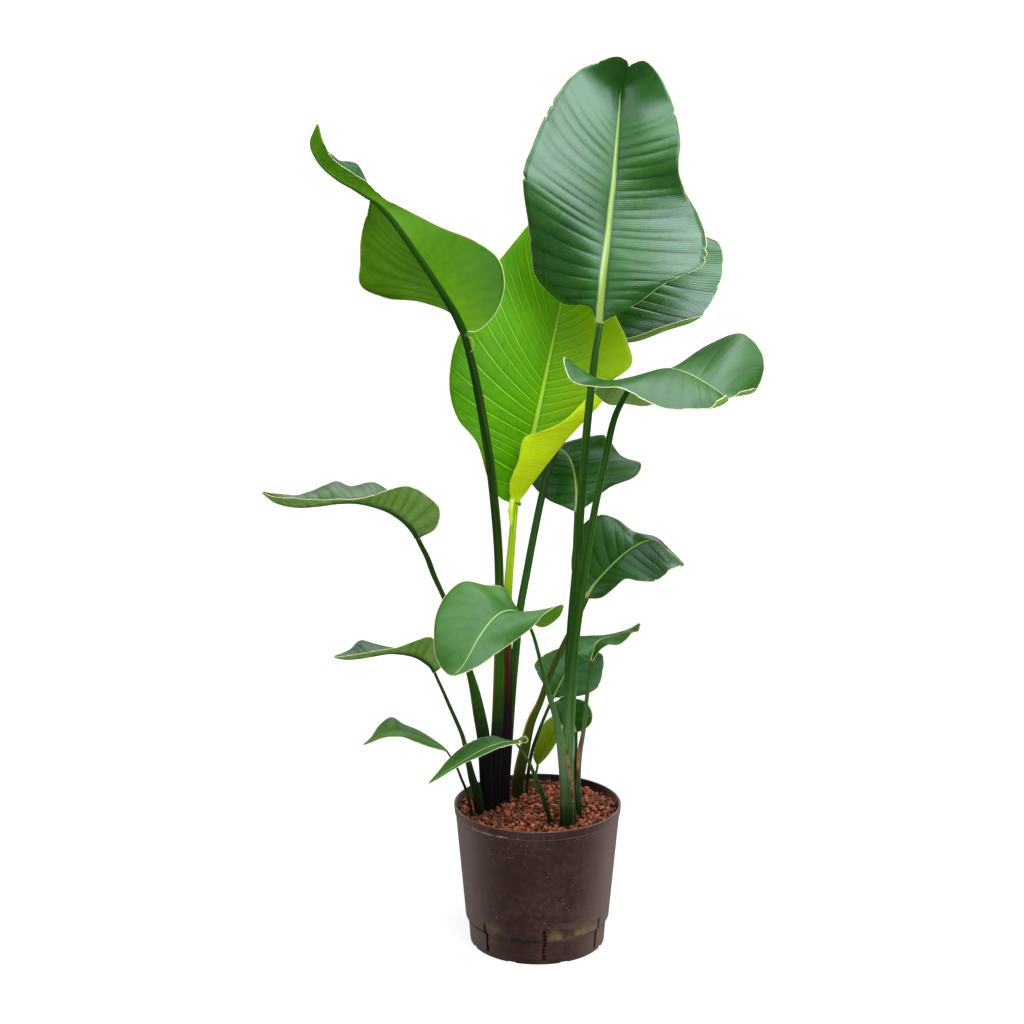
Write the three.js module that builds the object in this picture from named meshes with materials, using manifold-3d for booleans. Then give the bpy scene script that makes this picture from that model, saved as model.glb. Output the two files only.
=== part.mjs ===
// Potted bird of paradise: two clumps of broad pleated leaves on channelled stalks, in a plain culture
// pot filled with clay granulate. Millimetres, +Z up, origin at the centre of the pot's underside.

import * as THREE from 'three';
import { mergeVertices } from 'three/addons/utils/BufferGeometryUtils.js';
import Module from 'manifold-3d';

const wasm = await Module();
wasm.setup();

// Culture pot, 22 cm across the rim and 19 cm tall
const potRimRadius = 110;
const potHeight = 190;
const potFootRadius = 89;
const potBandHeight = 31; // plain foot band, with a small step out above it
const potStepHeight = 35;
const potBandRadius = 91.5;
const potStepRadius = 95;
const potWall = 2;
const potFloor = 3;
const potCollarHeight = 12; // turned collar under the rim
const potCollarProud = 1.2;
const potCollarFoot = 1; // height over which the collar steps out
const potTopInset = 1; // the collar's foot stands this far inside the rim
const potFootChamfer = 1;
const potLip = 1.2;
const potLipInside = 0.6;
const potSegments = 40;
const slotCount = 7;
const slotWidth = 4.5;
const slotFoot = 5;
const slotTop = 50;
const slotTopSegments = 6;
const slotFirstAngle = 5; // degrees from the front towards +X
const slotCutterInside = 20; // how far the slot cutter starts inside the step, and how long it is
const slotCutterLength = 30;
const footNotchCount = 8;
const footNotchWidth = 12;
const footNotchHeight = 2.5;
const footNotchDepth = 3; // inwards from the foot's edge
const footNotchCutter = 12; // length of the cutter

// Clay granulate, drawn as one body with a pellet relief on top
const granulateLevel = 181;
const granulateMound = 5; // how much the middle of the bed stands above its edge
const pelletPitch = 15;
const pelletHeight = 3.6;
const pelletLow = 0.56; // lowest and highest pellet, as shares of the pellet height
const pelletHigh = 1.04;
const pelletSizes = 8; // how many heights there are from lowest to highest
const pelletScatter = { row: 7, place: 5, both: 3 }; // odd steps, so that neighbours differ
const bedDepth = 10; // how far the relief body runs below the pot's floor before it is trimmed
const bedHeadroom = 40;
const holeHeadroom = 4; // how far a stalk's hole runs on above the highest pellet

// Rootstocks under the granulate, one to a clump
const rootTop = 130;
const rootBottom = 92;
const rootSides = 16;
const rootLevels = [ // share of the way up, and share of the full width there
  { height: 0, width: 0.55 },
  { height: 0.21, width: 0.9 },
  { height: 0.68, width: 1 },
  { height: 1, width: 0.92 },
];
const rootstocks = [
  { name: 'left_rootstock', centre: [-50, 11], halfLength: 50, halfWidth: 17, turn: 43 },
  { name: 'right_rootstock', centre: [39, -42], halfLength: 30, halfWidth: 22, turn: 20 },
];

// Leaves
const gap = 0.4; // clearance between touching pieces
const weld = 1e-4; // vertices closer together than this become one
const bladeThickness = 1.1;
const keelDepth = 4.2; // midrib under the blade at its base
const keelShare = 0.07; // how far out from the midrib the keel reaches, as a share of each half
const pleatHeight = 0.9;
const pleatReach = 1.2; // over 1, so that the pleats die out short of the margin
const keelTaper = 0.85; // share of the keel that is gone at the tip
const rippleTurns = 17; // radians of the margin's wave along the blade
const rippleShift = 1.9; // how far the right margin's wave is ahead of the left one's
const stalkSides = 8;
const stalkSteps = 12;
const buriedDepth = 14; // the stalk is straight up to this depth in the granulate
const buriedShare = 0.95; // its width at the rootstock, as a share of the width at the surface
const grooveDepth = 0.3; // share of the section's radius taken out by the channel
const footFlatness = 0.45; // thickness of a stalk as a share of its width, at its foot and at its blade
const tipFlatness = 0.75;

// Leaves are laid out on a front sheet. A point is [across, up, depth]: across and up are read on the
// upright plane through the pot's axis as seen from the eye point, and depth is how far behind that plane
// the point stands, on the same line of sight.
const eye = new THREE.Vector3(-34, -2600, 1170);

function onSheet([across, up, depth]) {
  const reach = (depth - eye.y) / -eye.y;
  return new THREE.Vector3(eye.x + (across - eye.x) * reach, depth, eye.z + (up - eye.z) * reach);
}

// Each leaf has the plan position of its foot, the stalk as [across, up, depth, width] from the granulate
// upwards, and the blade as rows from base to tip. A row is [midrib, left margin, right margin], left and
// right being those of someone who looks at the upper face with the tip up. The first row is only where the
// midrib leaves the stalk. A row can go on with a point that the right half passes through midway, and then
// one for the left half, where a half is rolled over.
const leaves = [
  {
    name: 'left_leaf_1', foot: [-57, 2], rows: 18, columns: 6, camber: 0.05, ripple: 2,
    stalk: [
      [-57, 215, 2, 18], [-53, 290, 3, 15.5], [-51, 360, 3, 13.5], [-50, 430, 2, 12.5], [-50, 500, -1, 11.5],
      [-53, 560, -6, 11.5], [-61, 640, -13, 11.5], [-70, 700, -20, 11.5], [-81, 760, -29, 10.5],
      [-93, 812, -38, 8.5],
    ],
    blade: [
      [[-93, 812, -38]],
      [[-97, 822, -40], [-76, 814, -32], [-109, 835, -24]],
      [[-105, 838, -44], [-52, 838, -16], [-142, 849, -2]],
      [[-118, 859, -50], [-42, 872, -2], [-184, 860, 10]],
      [[-133, 882, -57], [-50, 904, 4], [-217, 877, 3]],
      [[-150, 907, -65], [-78, 926, 2], [-223, 918, -18]],
      [[-168, 933, -75], [-124, 944, -12], [-219, 950, -40]],
      [[-186, 957, -86], [-168, 967, -34], [-214, 977, -58]],
      [[-205, 975, -98], [-193, 981, -78], [-213, 1002, -66]],
      [[-227, 990, -110], [-211, 999, -106], [-223, 1018, -78]],
      [[-250, 1003, -121], [-234, 1012, -121], [-246, 1025, -98]],
      [[-271, 1022, -131], [-254, 1028, -133], [-262, 1039, -118]],
      [[-281, 1045, -138], [-264, 1047, -141], [-270, 1053, -132]],
      [[-272, 1069, -143], [-270, 1069, -142], [-273, 1071, -141]],
    ],
  },
  {
    name: 'left_leaf_2', foot: [-43, 14], rows: 20, columns: 8, camber: 0.04, ripple: 1.5,
    stalk: [
      [-43, 215, 14, 13], [-40, 290, 14, 12.5], [-39, 360, 15, 12], [-40, 430, 17, 11.5], [-38, 490, 21, 11],
      [-34, 540, 27, 10], [-30, 592, 34, 8.5],
    ],
    blade: [
      [[-30, 592, 34]],
      [[-28, 602, 37], [-50, 601, 27], [-37, 604, 22], [-20, 602, 40]],
      [[-24, 617, 40], [-65, 626, 24], [-36, 621, 18], [-8, 619, 44]],
      [[-18, 640, 45], [-79, 672, 24], [-27, 647, 17], [14, 648, 48]],
      [[-12, 664, 50], [-102, 702, 26], [-20, 677, 20], [36, 676, 52]],
      [[-6, 688, 56], [-113, 738, 31], [4, 686, 27], [60, 702, 55]],
      [[-1, 711, 62], [-109, 784, 44], [30, 699, 34], [80, 727, 56]],
      [[4, 735, 68], [-90, 832, 62], [66, 735, 46], [88, 744, 58]],
      [[9, 760, 74], [-66, 878, 80], [117, 772, 64], [66, 768, 68]],
      [[15, 790, 82], [-42, 912, 95], [112, 800, 74], [66, 797, 77]],
      [[22, 824, 91], [-12, 948, 110], [95, 836, 87], [60, 832, 88]],
      [[29, 862, 102], [12, 968, 121], [84, 882, 100], [58, 873, 101]],
      [[35, 902, 113], [28, 982, 129], [70, 930, 114], [53, 917, 113]],
      [[40, 944, 124], [38, 988, 135], [56, 970, 126], [48, 958, 125]],
      [[44, 988, 136], [43, 990, 136], [46, 990, 136], [45, 989, 136]],
    ],
  },
  {
    name: 'left_leaf_3', foot: [-66, -8], rows: 18, columns: 6, camber: 0.06, ripple: 1.5,
    stalk: [
      [-68, 230, -13, 17], [-71, 280, -19, 17.5], [-76, 310, -24, 17], [-82, 342, -31, 13.5],
      [-89, 370, -37, 9.5], [-106, 430, -50, 8], [-123, 473, -61, 7.5], [-135, 501, -68, 9],
      [-144, 528, -75, 9], [-152, 549, -81, 8],
    ],
    blade: [
      [[-152, 549, -81]],
      [[-156, 556, -83], [-131, 560, -98], [-141, 572, -62]],
      [[-163, 565, -87], [-126, 586, -112], [-148, 594, -46]],
      [[-174, 575, -93], [-142, 605, -126], [-168, 603, -36]],
      [[-190, 585, -102], [-165, 616, -138], [-192, 609, -34]],
      [[-210, 592, -113], [-190, 609, -148], [-211, 621, -38]],
      [[-232, 596, -125], [-220, 600, -158], [-237, 617, -52]],
      [[-256, 595, -138], [-252, 599, -170], [-259, 621, -70]],
      [[-282, 591, -152], [-285, 598, -184], [-284, 610, -96]],
      [[-308, 589, -165], [-315, 599, -192], [-306, 604, -126]],
      [[-334, 594, -178], [-338, 602, -194], [-332, 606, -158]],
      [[-353, 607, -188], [-355, 608, -190], [-351, 609, -186]],
    ],
  },
  {
    name: 'left_leaf_4', foot: [-75, -20], rows: 11, columns: 6, camber: 0.06, ripple: 1,
    stalk: [
      [-80, 203, -24, 13], [-85, 220, -27, 11], [-90, 242, -31, 8.5], [-98, 280, -41, 6], [-106, 301, -47, 6],
      [-119, 332, -57, 5.5], [-133, 369, -67, 5],
    ],
    blade: [
      [[-133, 369, -67]],
      [[-137, 376, -69], [-124, 378, -80], [-132, 388, -54]],
      [[-145, 383, -73], [-127, 398, -90], [-140, 399, -44]],
      [[-157, 390, -79], [-138, 416, -99], [-160, 400, -38]],
      [[-173, 394, -88], [-157, 411, -107], [-186, 400, -40]],
      [[-193, 395, -99], [-180, 402, -115], [-208, 406, -46]],
      [[-214, 391, -110], [-206, 398, -124], [-229, 411, -58]],
      [[-235, 387, -121], [-232, 393, -132], [-241, 401, -82]],
      [[-251, 386, -129], [-250, 390, -137], [-252, 395, -108]],
      [[-265, 388, -136], [-266, 389, -138], [-264, 391, -134]],
    ],
  },
  {
    name: 'left_leaf_5', foot: [-84, -26], rows: 11, columns: 6, camber: 0.08, ripple: 1,
    stalk: [
      [-93, 203, -32, 4.5], [-100, 222, -38, 4.2], [-106, 238, -42, 4], [-112, 250, -45, 3.8],
      [-118, 261, -48, 3.6],
    ],
    blade: [
      [[-118, 261, -48]],
      [[-128, 267, -53], [-127, 262, -63], [-128, 270, -39]],
      [[-142, 274, -59], [-142, 266, -76], [-142, 280, -34]],
      [[-158, 282, -66], [-158, 272, -88], [-157, 289, -32]],
      [[-175, 287, -74], [-176, 279, -98], [-174, 297, -36]],
      [[-190, 288, -82], [-192, 280, -104], [-190, 307, -46]],
      [[-204, 284, -90], [-206, 277, -106], [-206, 297, -62]],
      [[-217, 276, -97], [-218, 272, -104], [-218, 279, -82]],
      [[-228, 269, -102], [-229, 268, -104], [-228, 270, -100]],
    ],
  },
  {
    name: 'left_leaf_6', foot: [-42, 25], rows: 18, columns: 6, camber: 0.05, ripple: 2.5,
    stalk: [
      [-42, 215, 25, 12], [-38, 280, 26, 12], [-33, 350, 30, 11], [-28, 405, 35, 10.5], [-23, 455, 41, 10.2],
      [-15, 500, 49, 10], [-7, 545, 57, 9.8], [5, 605, 69, 9.5], [14, 640, 76, 9.5], [28, 682, 87, 9.2],
      [48, 740, 101, 9], [66, 806, 118, 8.5],
    ],
    blade: [
      [[66, 806, 118]],
      [[70, 820, 122], [46, 814, 116], [112, 800, 110]],
      [[76, 843, 129], [28, 836, 124], [158, 815, 108]],
      [[83, 869, 137], [18, 872, 134], [196, 828, 112]],
      [[90, 898, 146], [14, 914, 146], [214, 848, 118]],
      [[97, 928, 155], [20, 956, 158], [229, 888, 128]],
      [[103, 960, 165], [36, 996, 170], [222, 924, 140]],
      [[109, 994, 175], [60, 1030, 183], [194, 930, 154]],
      [[113, 1030, 186], [88, 1054, 193], [158, 990, 176]],
      [[116, 1066, 198], [113, 1068, 198], [119, 1066, 198]],
    ],
  },
  {
    name: 'left_leaf_7', foot: [-27, 34], rows: 15, columns: 6, camber: 0.02, ripple: 1.5,
    stalk: [
      [-27, 205, 36, 16], [-24, 230, 37, 16], [-18, 260, 39, 15], [-9, 300, 42, 12], [3, 328, 45, 9],
      [14, 361, 48, 8.2], [31, 400, 51, 8], [48, 436, 54, 8], [61, 468, 57, 8],
    ],
    blade: [
      [[61, 468, 57]],
      [[66, 476, 58], [46, 492, 68], [82, 468, 46]],
      [[74, 488, 59], [42, 518, 77], [98, 481, 37]],
      [[85, 501, 58], [50, 556, 85], [113, 493, 28]],
      [[98, 515, 56], [75, 578, 84], [130, 490, 18]],
      [[113, 529, 52], [98, 574, 76], [148, 490, 12]],
      [[130, 540, 45], [122, 557, 66], [163, 498, 8]],
      [[149, 545, 35], [150, 549, 50], [172, 506, 6]],
      [[168, 529, 20], [168, 534, 26], [178, 509, 8]],
      [[187, 511, 8], [188, 513, 10], [187, 509, 7]],
    ],
  },
  {
    name: 'left_leaf_8', foot: [-14, 45], rows: 11, columns: 6, camber: 0.05, ripple: 1,
    stalk: [
      [-14, 212, 48, 5], [-11, 240, 52, 5], [-7, 262, 56, 4.8], [3, 292, 62, 4.6], [12, 315, 67, 4.5],
      [20, 334, 72, 4.4],
    ],
    blade: [
      [[20, 334, 72]],
      [[23, 341, 74], [8, 350, 70], [40, 334, 68]],
      [[28, 351, 78], [-1, 367, 74], [62, 338, 68]],
      [[34, 363, 84], [-5, 379, 80], [78, 348, 72]],
      [[40, 374, 91], [6, 391, 92], [85, 370, 80]],
      [[46, 385, 100], [24, 400, 104], [85, 390, 92]],
      [[51, 394, 112], [40, 402, 118], [74, 397, 108]],
      [[56, 400, 128], [54, 402, 127], [59, 401, 128]],
    ],
  },
  {
    name: 'left_leaf_9', foot: [-6, 84], rows: 10, columns: 6, camber: 0.08, ripple: 0.8,
    stalk: [[-4, 224, 84, 4], [-1, 234, 85, 3.6], [0, 241, 86, 3.4]],
    blade: [
      [[0, 241, 86]],
      [[6, 253, 87], [-6, 253, 83], [11, 251, 84]],
      [[12, 267, 89], [-3, 268, 82], [20, 264, 84]],
      [[17, 282, 92], [2, 285, 84], [28, 280, 88]],
      [[22, 297, 96], [10, 301, 91], [32, 295, 94]],
      [[26, 312, 101], [24, 312, 100], [28, 312, 101]],
    ],
  },
  {
    name: 'right_leaf_1', foot: [38, -41], rows: 26, columns: 6, camber: 0.05, ripple: 2.5,
    stalk: [
      [38, 230, -41, 15], [40, 320, -41, 14], [43, 420, -40, 12.5], [50, 520, -38, 11], [56, 620, -36, 10.5],
      [62, 700, -33, 10.5], [68, 760, -29, 10], [75, 823, -22, 8.5],
    ],
    blade: [
      [[75, 823, -22]],
      [[76, 836, -20], [63, 845, -8], [97, 834, -33]],
      [[78, 856, -16], [24, 850, 20], [125, 850, -43]],
      [[80, 879, -10], [-8, 882, 21], [152, 870, -50]],
      [[82, 901, -4], [-13, 918, 3], [180, 883, -51]],
      [[84, 922, 2], [-15, 950, -7], [205, 897, -43]],
      [[86, 945, 9], [-20, 984, -11], [209, 922, -28]],
      [[88, 970, 16], [-20, 1013, -9], [198, 958, -6]],
      [[91, 996, 23], [-10, 1043, -1], [183, 985, 0]],
      [[93, 1022, 31], [6, 1078, 13], [172, 1016, -4]],
      [[95, 1050, 40], [26, 1113, 32], [174, 1052, 2]],
      [[97, 1080, 50], [50, 1135, 44], [163, 1094, 22]],
      [[99, 1107, 57], [76, 1146, 42], [146, 1130, 30]],
      [[104, 1128, 50], [96, 1151, 38], [127, 1145, 34]],
      [[109, 1138, 43], [107, 1145, 39], [112, 1141, 41]],
    ],
  },
  {
    name: 'right_leaf_2', foot: [43, -54], rows: 24, columns: 6, camber: 0.06, ripple: 1.5,
    stalk: [
      [40, 240, -55, 15], [43, 340, -56, 14.5], [47, 410, -57, 13.5], [54, 462, -58, 11.5],
      [62, 520, -59, 9.8], [71, 580, -60, 9.6], [83, 640, -62, 9.8], [95, 700, -64, 10], [113, 746, -67, 9],
    ],
    blade: [
      [[114, 748, -67]],
      [[118, 752, -67], [86, 744, -50], [90, 751, -76], [105, 749, -72]],
      [[124, 755, -67], [70, 738, -34], [60, 759, -84], [92, 750, -78]],
      [[131, 759, -66], [88, 721, -18], [32, 781, -92], [83, 751, -84]],
      [[139, 762, -65], [110, 722, -4], [42, 750, -106], [92, 751, -92]],
      [[148, 765, -65], [136, 718, 6], [74, 742, -116], [114, 754, -96]],
      [[158, 767, -67], [158, 726, 16], [105, 742, -122], [135, 757, -98]],
      [[170, 766, -71], [174, 760, 22], [130, 729, -130], [153, 754, -104]],
      [[183, 762, -78], [194, 785, 18], [158, 716, -138], [173, 746, -111]],
      [[198, 755, -87], [224, 803, 4], [188, 714, -140], [194, 740, -116]],
      [[213, 746, -97], [256, 810, -18], [214, 715, -136], [214, 734, -119]],
      [[225, 738, -105], [282, 778, -48], [228, 720, -130], [227, 731, -119]],
      [[234, 731, -111], [274, 740, -78], [236, 725, -121], [235, 728, -117]],
      [[240, 728, -114], [242, 729, -112], [239, 727, -116], [240, 728, -115]],
    ],
  },
  {
    name: 'right_leaf_3', foot: [34, -28], rows: 14, columns: 6, camber: 0.05, ripple: 2,
    stalk: [
      [35, 240, -22, 9.5], [38, 330, -6, 9], [42, 430, 14, 8.8], [46, 475, 26, 8.6], [48, 520, 37, 8.6],
      [49, 582, 53, 8],
    ],
    blade: [
      [[49, 582, 53]],
      [[49, 592, 58], [30, 589, 62], [64, 590, 60]],
      [[49, 606, 68], [11, 598, 84], [90, 613, 62]],
      [[47, 624, 82], [-8, 617, 108], [124, 627, 64]],
      [[43, 643, 100], [-16, 640, 130], [131, 645, 84]],
      [[36, 657, 120], [-12, 660, 150], [104, 656, 112]],
      [[26, 664, 142], [-4, 662, 166], [84, 680, 136]],
      [[14, 664, 164], [-3, 655, 180], [50, 670, 160]],
      [[0, 652, 186], [-2, 650, 187], [5, 655, 186]],
    ],
  },
  {
    name: 'right_leaf_4', foot: [55, -38], rows: 11, columns: 6, camber: 0.06, ripple: 1,
    stalk: [
      [53, 215, -38, 7.5], [55, 255, -37, 6.5], [60, 290, -37, 5.8], [64, 335, -36, 5.4], [69, 383, -34, 5],
    ],
    blade: [
      [[69, 383, -34]],
      [[70, 389, -33], [54, 393, -36], [77, 393, -40]],
      [[72, 397, -31], [45, 404, -30], [84, 401, -46]],
      [[75, 406, -27], [47, 415, -16], [92, 405, -48]],
      [[82, 413, -21], [62, 417, -4], [104, 405, -44]],
      [[92, 416, -15], [84, 418, 2], [115, 412, -36]],
      [[105, 420, -12], [103, 422, -2], [123, 421, -26]],
      [[120, 426, -10], [120, 428, -6], [131, 424, -16]],
      [[132, 434, -9], [131, 436, -8], [133, 433, -11]],
    ],
  },
  {
    name: 'right_leaf_5', foot: [36, -67], rows: 18, columns: 6, camber: 0.06, ripple: 1.5,
    stalk: [
      [38, 205, -68, 18], [33, 251, -72, 13], [25, 300, -77, 8.5], [14, 340, -83, 7], [4, 380, -91, 6.4],
      [-3, 408, -98, 6.2], [-10, 430, -104, 6.2], [-20, 445, -112, 6],
    ],
    blade: [
      [[-21, 446, -113]],
      [[-26, 449, -117], [6, 428, -102], [-33, 463, -106], null, [-12, 442, -109]],
      [[-32, 451, -121], [28, 443, -100], [-46, 483, -100], null, [-4, 447, -112]],
      [[-39, 451, -127], [33, 461, -110], [-70, 485, -100], null, [-3, 450, -120]],
      [[-48, 448, -135], [10, 447, -126], [-98, 489, -106], null, [-20, 448, -132]],
      [[-58, 440, -143], [-8, 427, -137], [-118, 474, -116], null, [-33, 437, -142]],
      [[-68, 428, -151], [-30, 411, -149], [-132, 446, -131], null, [-49, 423, -152]],
      [[-79, 411, -160], [-50, 396, -161], [-135, 412, -147]],
      [[-89, 392, -168], [-70, 380, -171], [-131, 384, -161]],
      [[-99, 375, -174], [-90, 369, -177], [-120, 367, -173]],
      [[-110, 364, -179], [-108, 362, -179], [-113, 363, -179]],
    ],
  },
  {
    name: 'right_leaf_6', foot: [20, -63], rows: 11, columns: 6, camber: 0.08, ripple: 1,
    stalk: [
      [7, 198, -72, 6.4], [2, 212, -76, 5.8], [-4, 227, -81, 5.4], [-13, 249, -88, 5], [-27, 272, -98, 4.2],
    ],
    blade: [
      [[-27, 272, -98]],
      [[-32, 273, -101], [-20, 271, -106], [-16, 277, -94]],
      [[-42, 273, -107], [-38, 268, -117], [-36, 275, -93]],
      [[-56, 269, -115], [-58, 261, -127], [-58, 281, -96]],
      [[-72, 262, -124], [-76, 252, -135], [-80, 277, -102]],
      [[-90, 251, -133], [-95, 244, -141], [-98, 267, -112]],
      [[-110, 238, -141], [-113, 233, -147], [-118, 248, -124]],
      [[-128, 226, -148], [-130, 222, -151], [-133, 229, -138]],
      [[-143, 215, -153], [-144, 214, -154], [-144, 216, -151]],
    ],
  },
  {
    name: 'right_leaf_7', foot: [48, -14], rows: 10, columns: 6, camber: 0.06, ripple: 1,
    stalk: [[49, 225, -10, 5], [50, 255, -6, 4.6], [50, 286, 0, 4.2]],
    blade: [
      [[50, 286, 0]],
      [[49, 291, 2], [36, 292, 4], [63, 291, -2]],
      [[47, 299, 5], [26, 303, 8], [71, 301, -2]],
      [[45, 308, 8], [20, 317, 12], [71, 315, 2]],
      [[42, 317, 11], [20, 327, 15], [63, 328, 8]],
      [[38, 325, 14], [26, 331, 17], [50, 333, 14]],
      [[33, 335, 17], [31, 336, 17], [36, 336, 17]],
    ],
  },
];

// Materials
const colours = {
  pot: { color: 0x4a3a33, roughness: 0.45 },
  granulate: { color: 0x8a4a34, roughness: 0.95 },
  rootstock: { color: 0xb9a27c, roughness: 0.9 },
  stalk: { color: 0x2f5a1e, roughness: 0.5 },
  blade: { color: 0x3c7230, roughness: 0.5 },
  limeBlade: { color: 0x8fb51e, roughness: 0.5 },
  limeStalk: { color: 0x86a81f, roughness: 0.5 },
};
const limeLeaves = ['left_leaf_2', 'left_leaf_9'];

function material(kind) {
  return new THREE.MeshStandardMaterial({ ...colours[kind], metalness: 0 });
}

// Indexed geometry from a list of vertices and a list of triangles
function geometryFrom(points, triangles) {
  const geometry = new THREE.BufferGeometry();
  const positions = points.flatMap((p) => [p.x, p.y, p.z]);
  geometry.setAttribute('position', new THREE.Float32BufferAttribute(positions, 3));
  geometry.setIndex(triangles.flat());
  geometry.computeVertexNormals();
  return geometry;
}

function toSolid(geometry) {
  const bare = geometry.clone();
  bare.deleteAttribute('normal');
  bare.deleteAttribute('uv');
  const merged = mergeVertices(bare, weld);
  return new wasm.Manifold(new wasm.Mesh({
    numProp: 3,
    vertProperties: new Float32Array(merged.attributes.position.array),
    triVerts: new Uint32Array(merged.index.array),
  }));
}

function toGeometry(solid) {
  const mesh = solid.getMesh();
  const geometry = new THREE.BufferGeometry();
  geometry.setAttribute('position', new THREE.BufferAttribute(new Float32Array(mesh.vertProperties), 3));
  geometry.setIndex(new THREE.BufferAttribute(new Uint32Array(mesh.triVerts), 1));
  geometry.computeVertexNormals();
  return geometry;
}

function lathe(profile, segments) {
  const geometry = new THREE.LatheGeometry(profile.map(([r, z]) => new THREE.Vector2(r, z)), segments);
  geometry.rotateX(Math.PI / 2);
  return geometry;
}

// Pot: outside of the wall at a height, and the inside one wall in
function potOuterRadius(z) {
  const wallTop = potHeight - potCollarHeight;
  const wallTopRadius = potRimRadius - potCollarProud - potTopInset;
  if (z <= potBandHeight) {
    return THREE.MathUtils.mapLinear(z, 0, potBandHeight, potFootRadius, potBandRadius);
  }
  if (z <= potStepHeight) {
    return THREE.MathUtils.mapLinear(z, potBandHeight, potStepHeight, potBandRadius, potStepRadius);
  }
  return THREE.MathUtils.mapLinear(z, potStepHeight, wallTop, potStepRadius, wallTopRadius);
}

function potInnerRadius(z) {
  return potOuterRadius(z) - potWall;
}

function makePot() {
  const wallTop = potHeight - potCollarHeight;
  const profile = [
    [0, 0],
    [potFootRadius - potFootChamfer, 0],
    [potFootRadius, potFootChamfer],
    [potOuterRadius(potBandHeight), potBandHeight],
    [potOuterRadius(potStepHeight), potStepHeight],
    [potOuterRadius(wallTop), wallTop],
    [potOuterRadius(wallTop) + potCollarProud, wallTop + potCollarFoot],
    [potRimRadius, potHeight - potLip],
    [potRimRadius - potLip, potHeight],
    [potInnerRadius(potHeight) + potLipInside, potHeight],
    [potInnerRadius(potHeight), potHeight - potLip],
    [potInnerRadius(potStepHeight), potStepHeight],
    [potInnerRadius(potBandHeight), potBandHeight],
    [potInnerRadius(potFloor), potFloor],
    [0, potFloor],
  ];
  let pot = toSolid(lathe(profile, potSegments));
  for (let i = 0; i < slotCount; i += 1) {
    const angle = THREE.MathUtils.degToRad(slotFirstAngle + (360 / slotCount) * i);
    pot = pot.subtract(toSolid(slotCutter(angle)));
  }
  for (let i = 0; i < footNotchCount; i += 1) {
    const notch = new THREE.BoxGeometry(footNotchWidth, footNotchCutter, footNotchHeight * 2);
    notch.translate(0, footNotchDepth - potFootRadius - footNotchCutter / 2, 0);
    notch.rotateZ((2 * Math.PI * (i + 0.5)) / footNotchCount);
    pot = pot.subtract(toSolid(notch));
  }
  return toGeometry(pot);
}

// Upright slot with a round top, cut through the wall at an angle from the front
function slotCutter(angle) {
  const half = slotWidth / 2;
  const outline = new THREE.Shape();
  outline.moveTo(-half, slotFoot);
  outline.lineTo(half, slotFoot);
  outline.lineTo(half, slotTop - half);
  outline.absarc(0, slotTop - half, half, 0, Math.PI, false);
  outline.closePath();
  const cutter = new THREE.ExtrudeGeometry(outline, {
    depth: slotCutterLength, bevelEnabled: false, curveSegments: slotTopSegments,
  });
  cutter.rotateX(Math.PI / 2);
  cutter.translate(0, slotCutterInside - potStepRadius, 0);
  cutter.rotateZ(angle);
  return cutter;
}

// Height of the granulate bed, before its pellets: raised in the middle and lower along the wall
function bedHeight(x, y) {
  const share = Math.min(1, Math.hypot(x, y) / potRimRadius);
  return granulateLevel + granulateMound * (1 - share * share);
}

// Height of a pellet as a share of the full height, uneven from one place on the lattice to the next
function pelletSize(row, i) {
  const step = pelletScatter.row * row + pelletScatter.place * i + pelletScatter.both * row * i;
  const size = Math.abs(step % pelletSizes);
  return THREE.MathUtils.lerp(pelletLow, pelletHigh, size / (pelletSizes - 1));
}

// Bed with one small pyramid of six faces to each pellet, on a hexagonal lattice
function pelletBed() {
  const reach = Math.ceil((potRimRadius + pelletPitch) / pelletPitch);
  const rowPitch = (pelletPitch * Math.sqrt(3)) / 2;
  const corner = pelletPitch / Math.sqrt(3);
  const index = new Map();
  const points = [];
  const triangles = [];
  const add = (x, y, z) => {
    const key = `${x.toFixed(2)},${y.toFixed(2)}`;
    if (!index.has(key)) {
      index.set(key, points.length);
      points.push(new THREE.Vector3(x, y, z));
    }
    return index.get(key);
  };
  const edges = new Map();
  const face = (a, b, c) => {
    triangles.push([a, b, c]);
    [[a, b], [b, c], [c, a]].forEach(([p, q]) => {
      if (!edges.delete(`${q},${p}`)) {
        edges.set(`${p},${q}`, [p, q]);
      }
    });
  };
  for (let row = -reach; row <= reach; row += 1) {
    for (let i = -reach; i <= reach; i += 1) {
      const x = (i + (Math.abs(row) % 2) / 2) * pelletPitch;
      const y = row * rowPitch;
      if (Math.hypot(x, y) > potRimRadius + corner) {
        continue;
      }
      const middle = add(x, y, bedHeight(x, y) + pelletHeight * pelletSize(row, i));
      for (let k = 0; k < 6; k += 1) {
        const from = (Math.PI / 3) * k + Math.PI / 6;
        const ax = x + corner * Math.cos(from);
        const ay = y + corner * Math.sin(from);
        const bx = x + corner * Math.cos(from + Math.PI / 3);
        const by = y + corner * Math.sin(from + Math.PI / 3);
        face(middle, add(ax, ay, bedHeight(ax, ay)), add(bx, by, bedHeight(bx, by)));
      }
    }
  }
  // Flat underside and skirt, from the open edges of the relief
  const rim = [...edges.values()];
  const below = new Map();
  const drop = (a) => {
    if (!below.has(a)) {
      below.set(a, points.length);
      points.push(new THREE.Vector3(points[a].x, points[a].y, potFloor - bedDepth));
    }
    return below.get(a);
  };
  const centre = points.length;
  points.push(new THREE.Vector3(0, 0, potFloor - bedDepth));
  rim.forEach(([a, b]) => {
    triangles.push([b, a, drop(a)], [b, drop(a), drop(b)], [drop(b), drop(a), centre]);
  });
  return geometryFrom(points, triangles);
}

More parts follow.
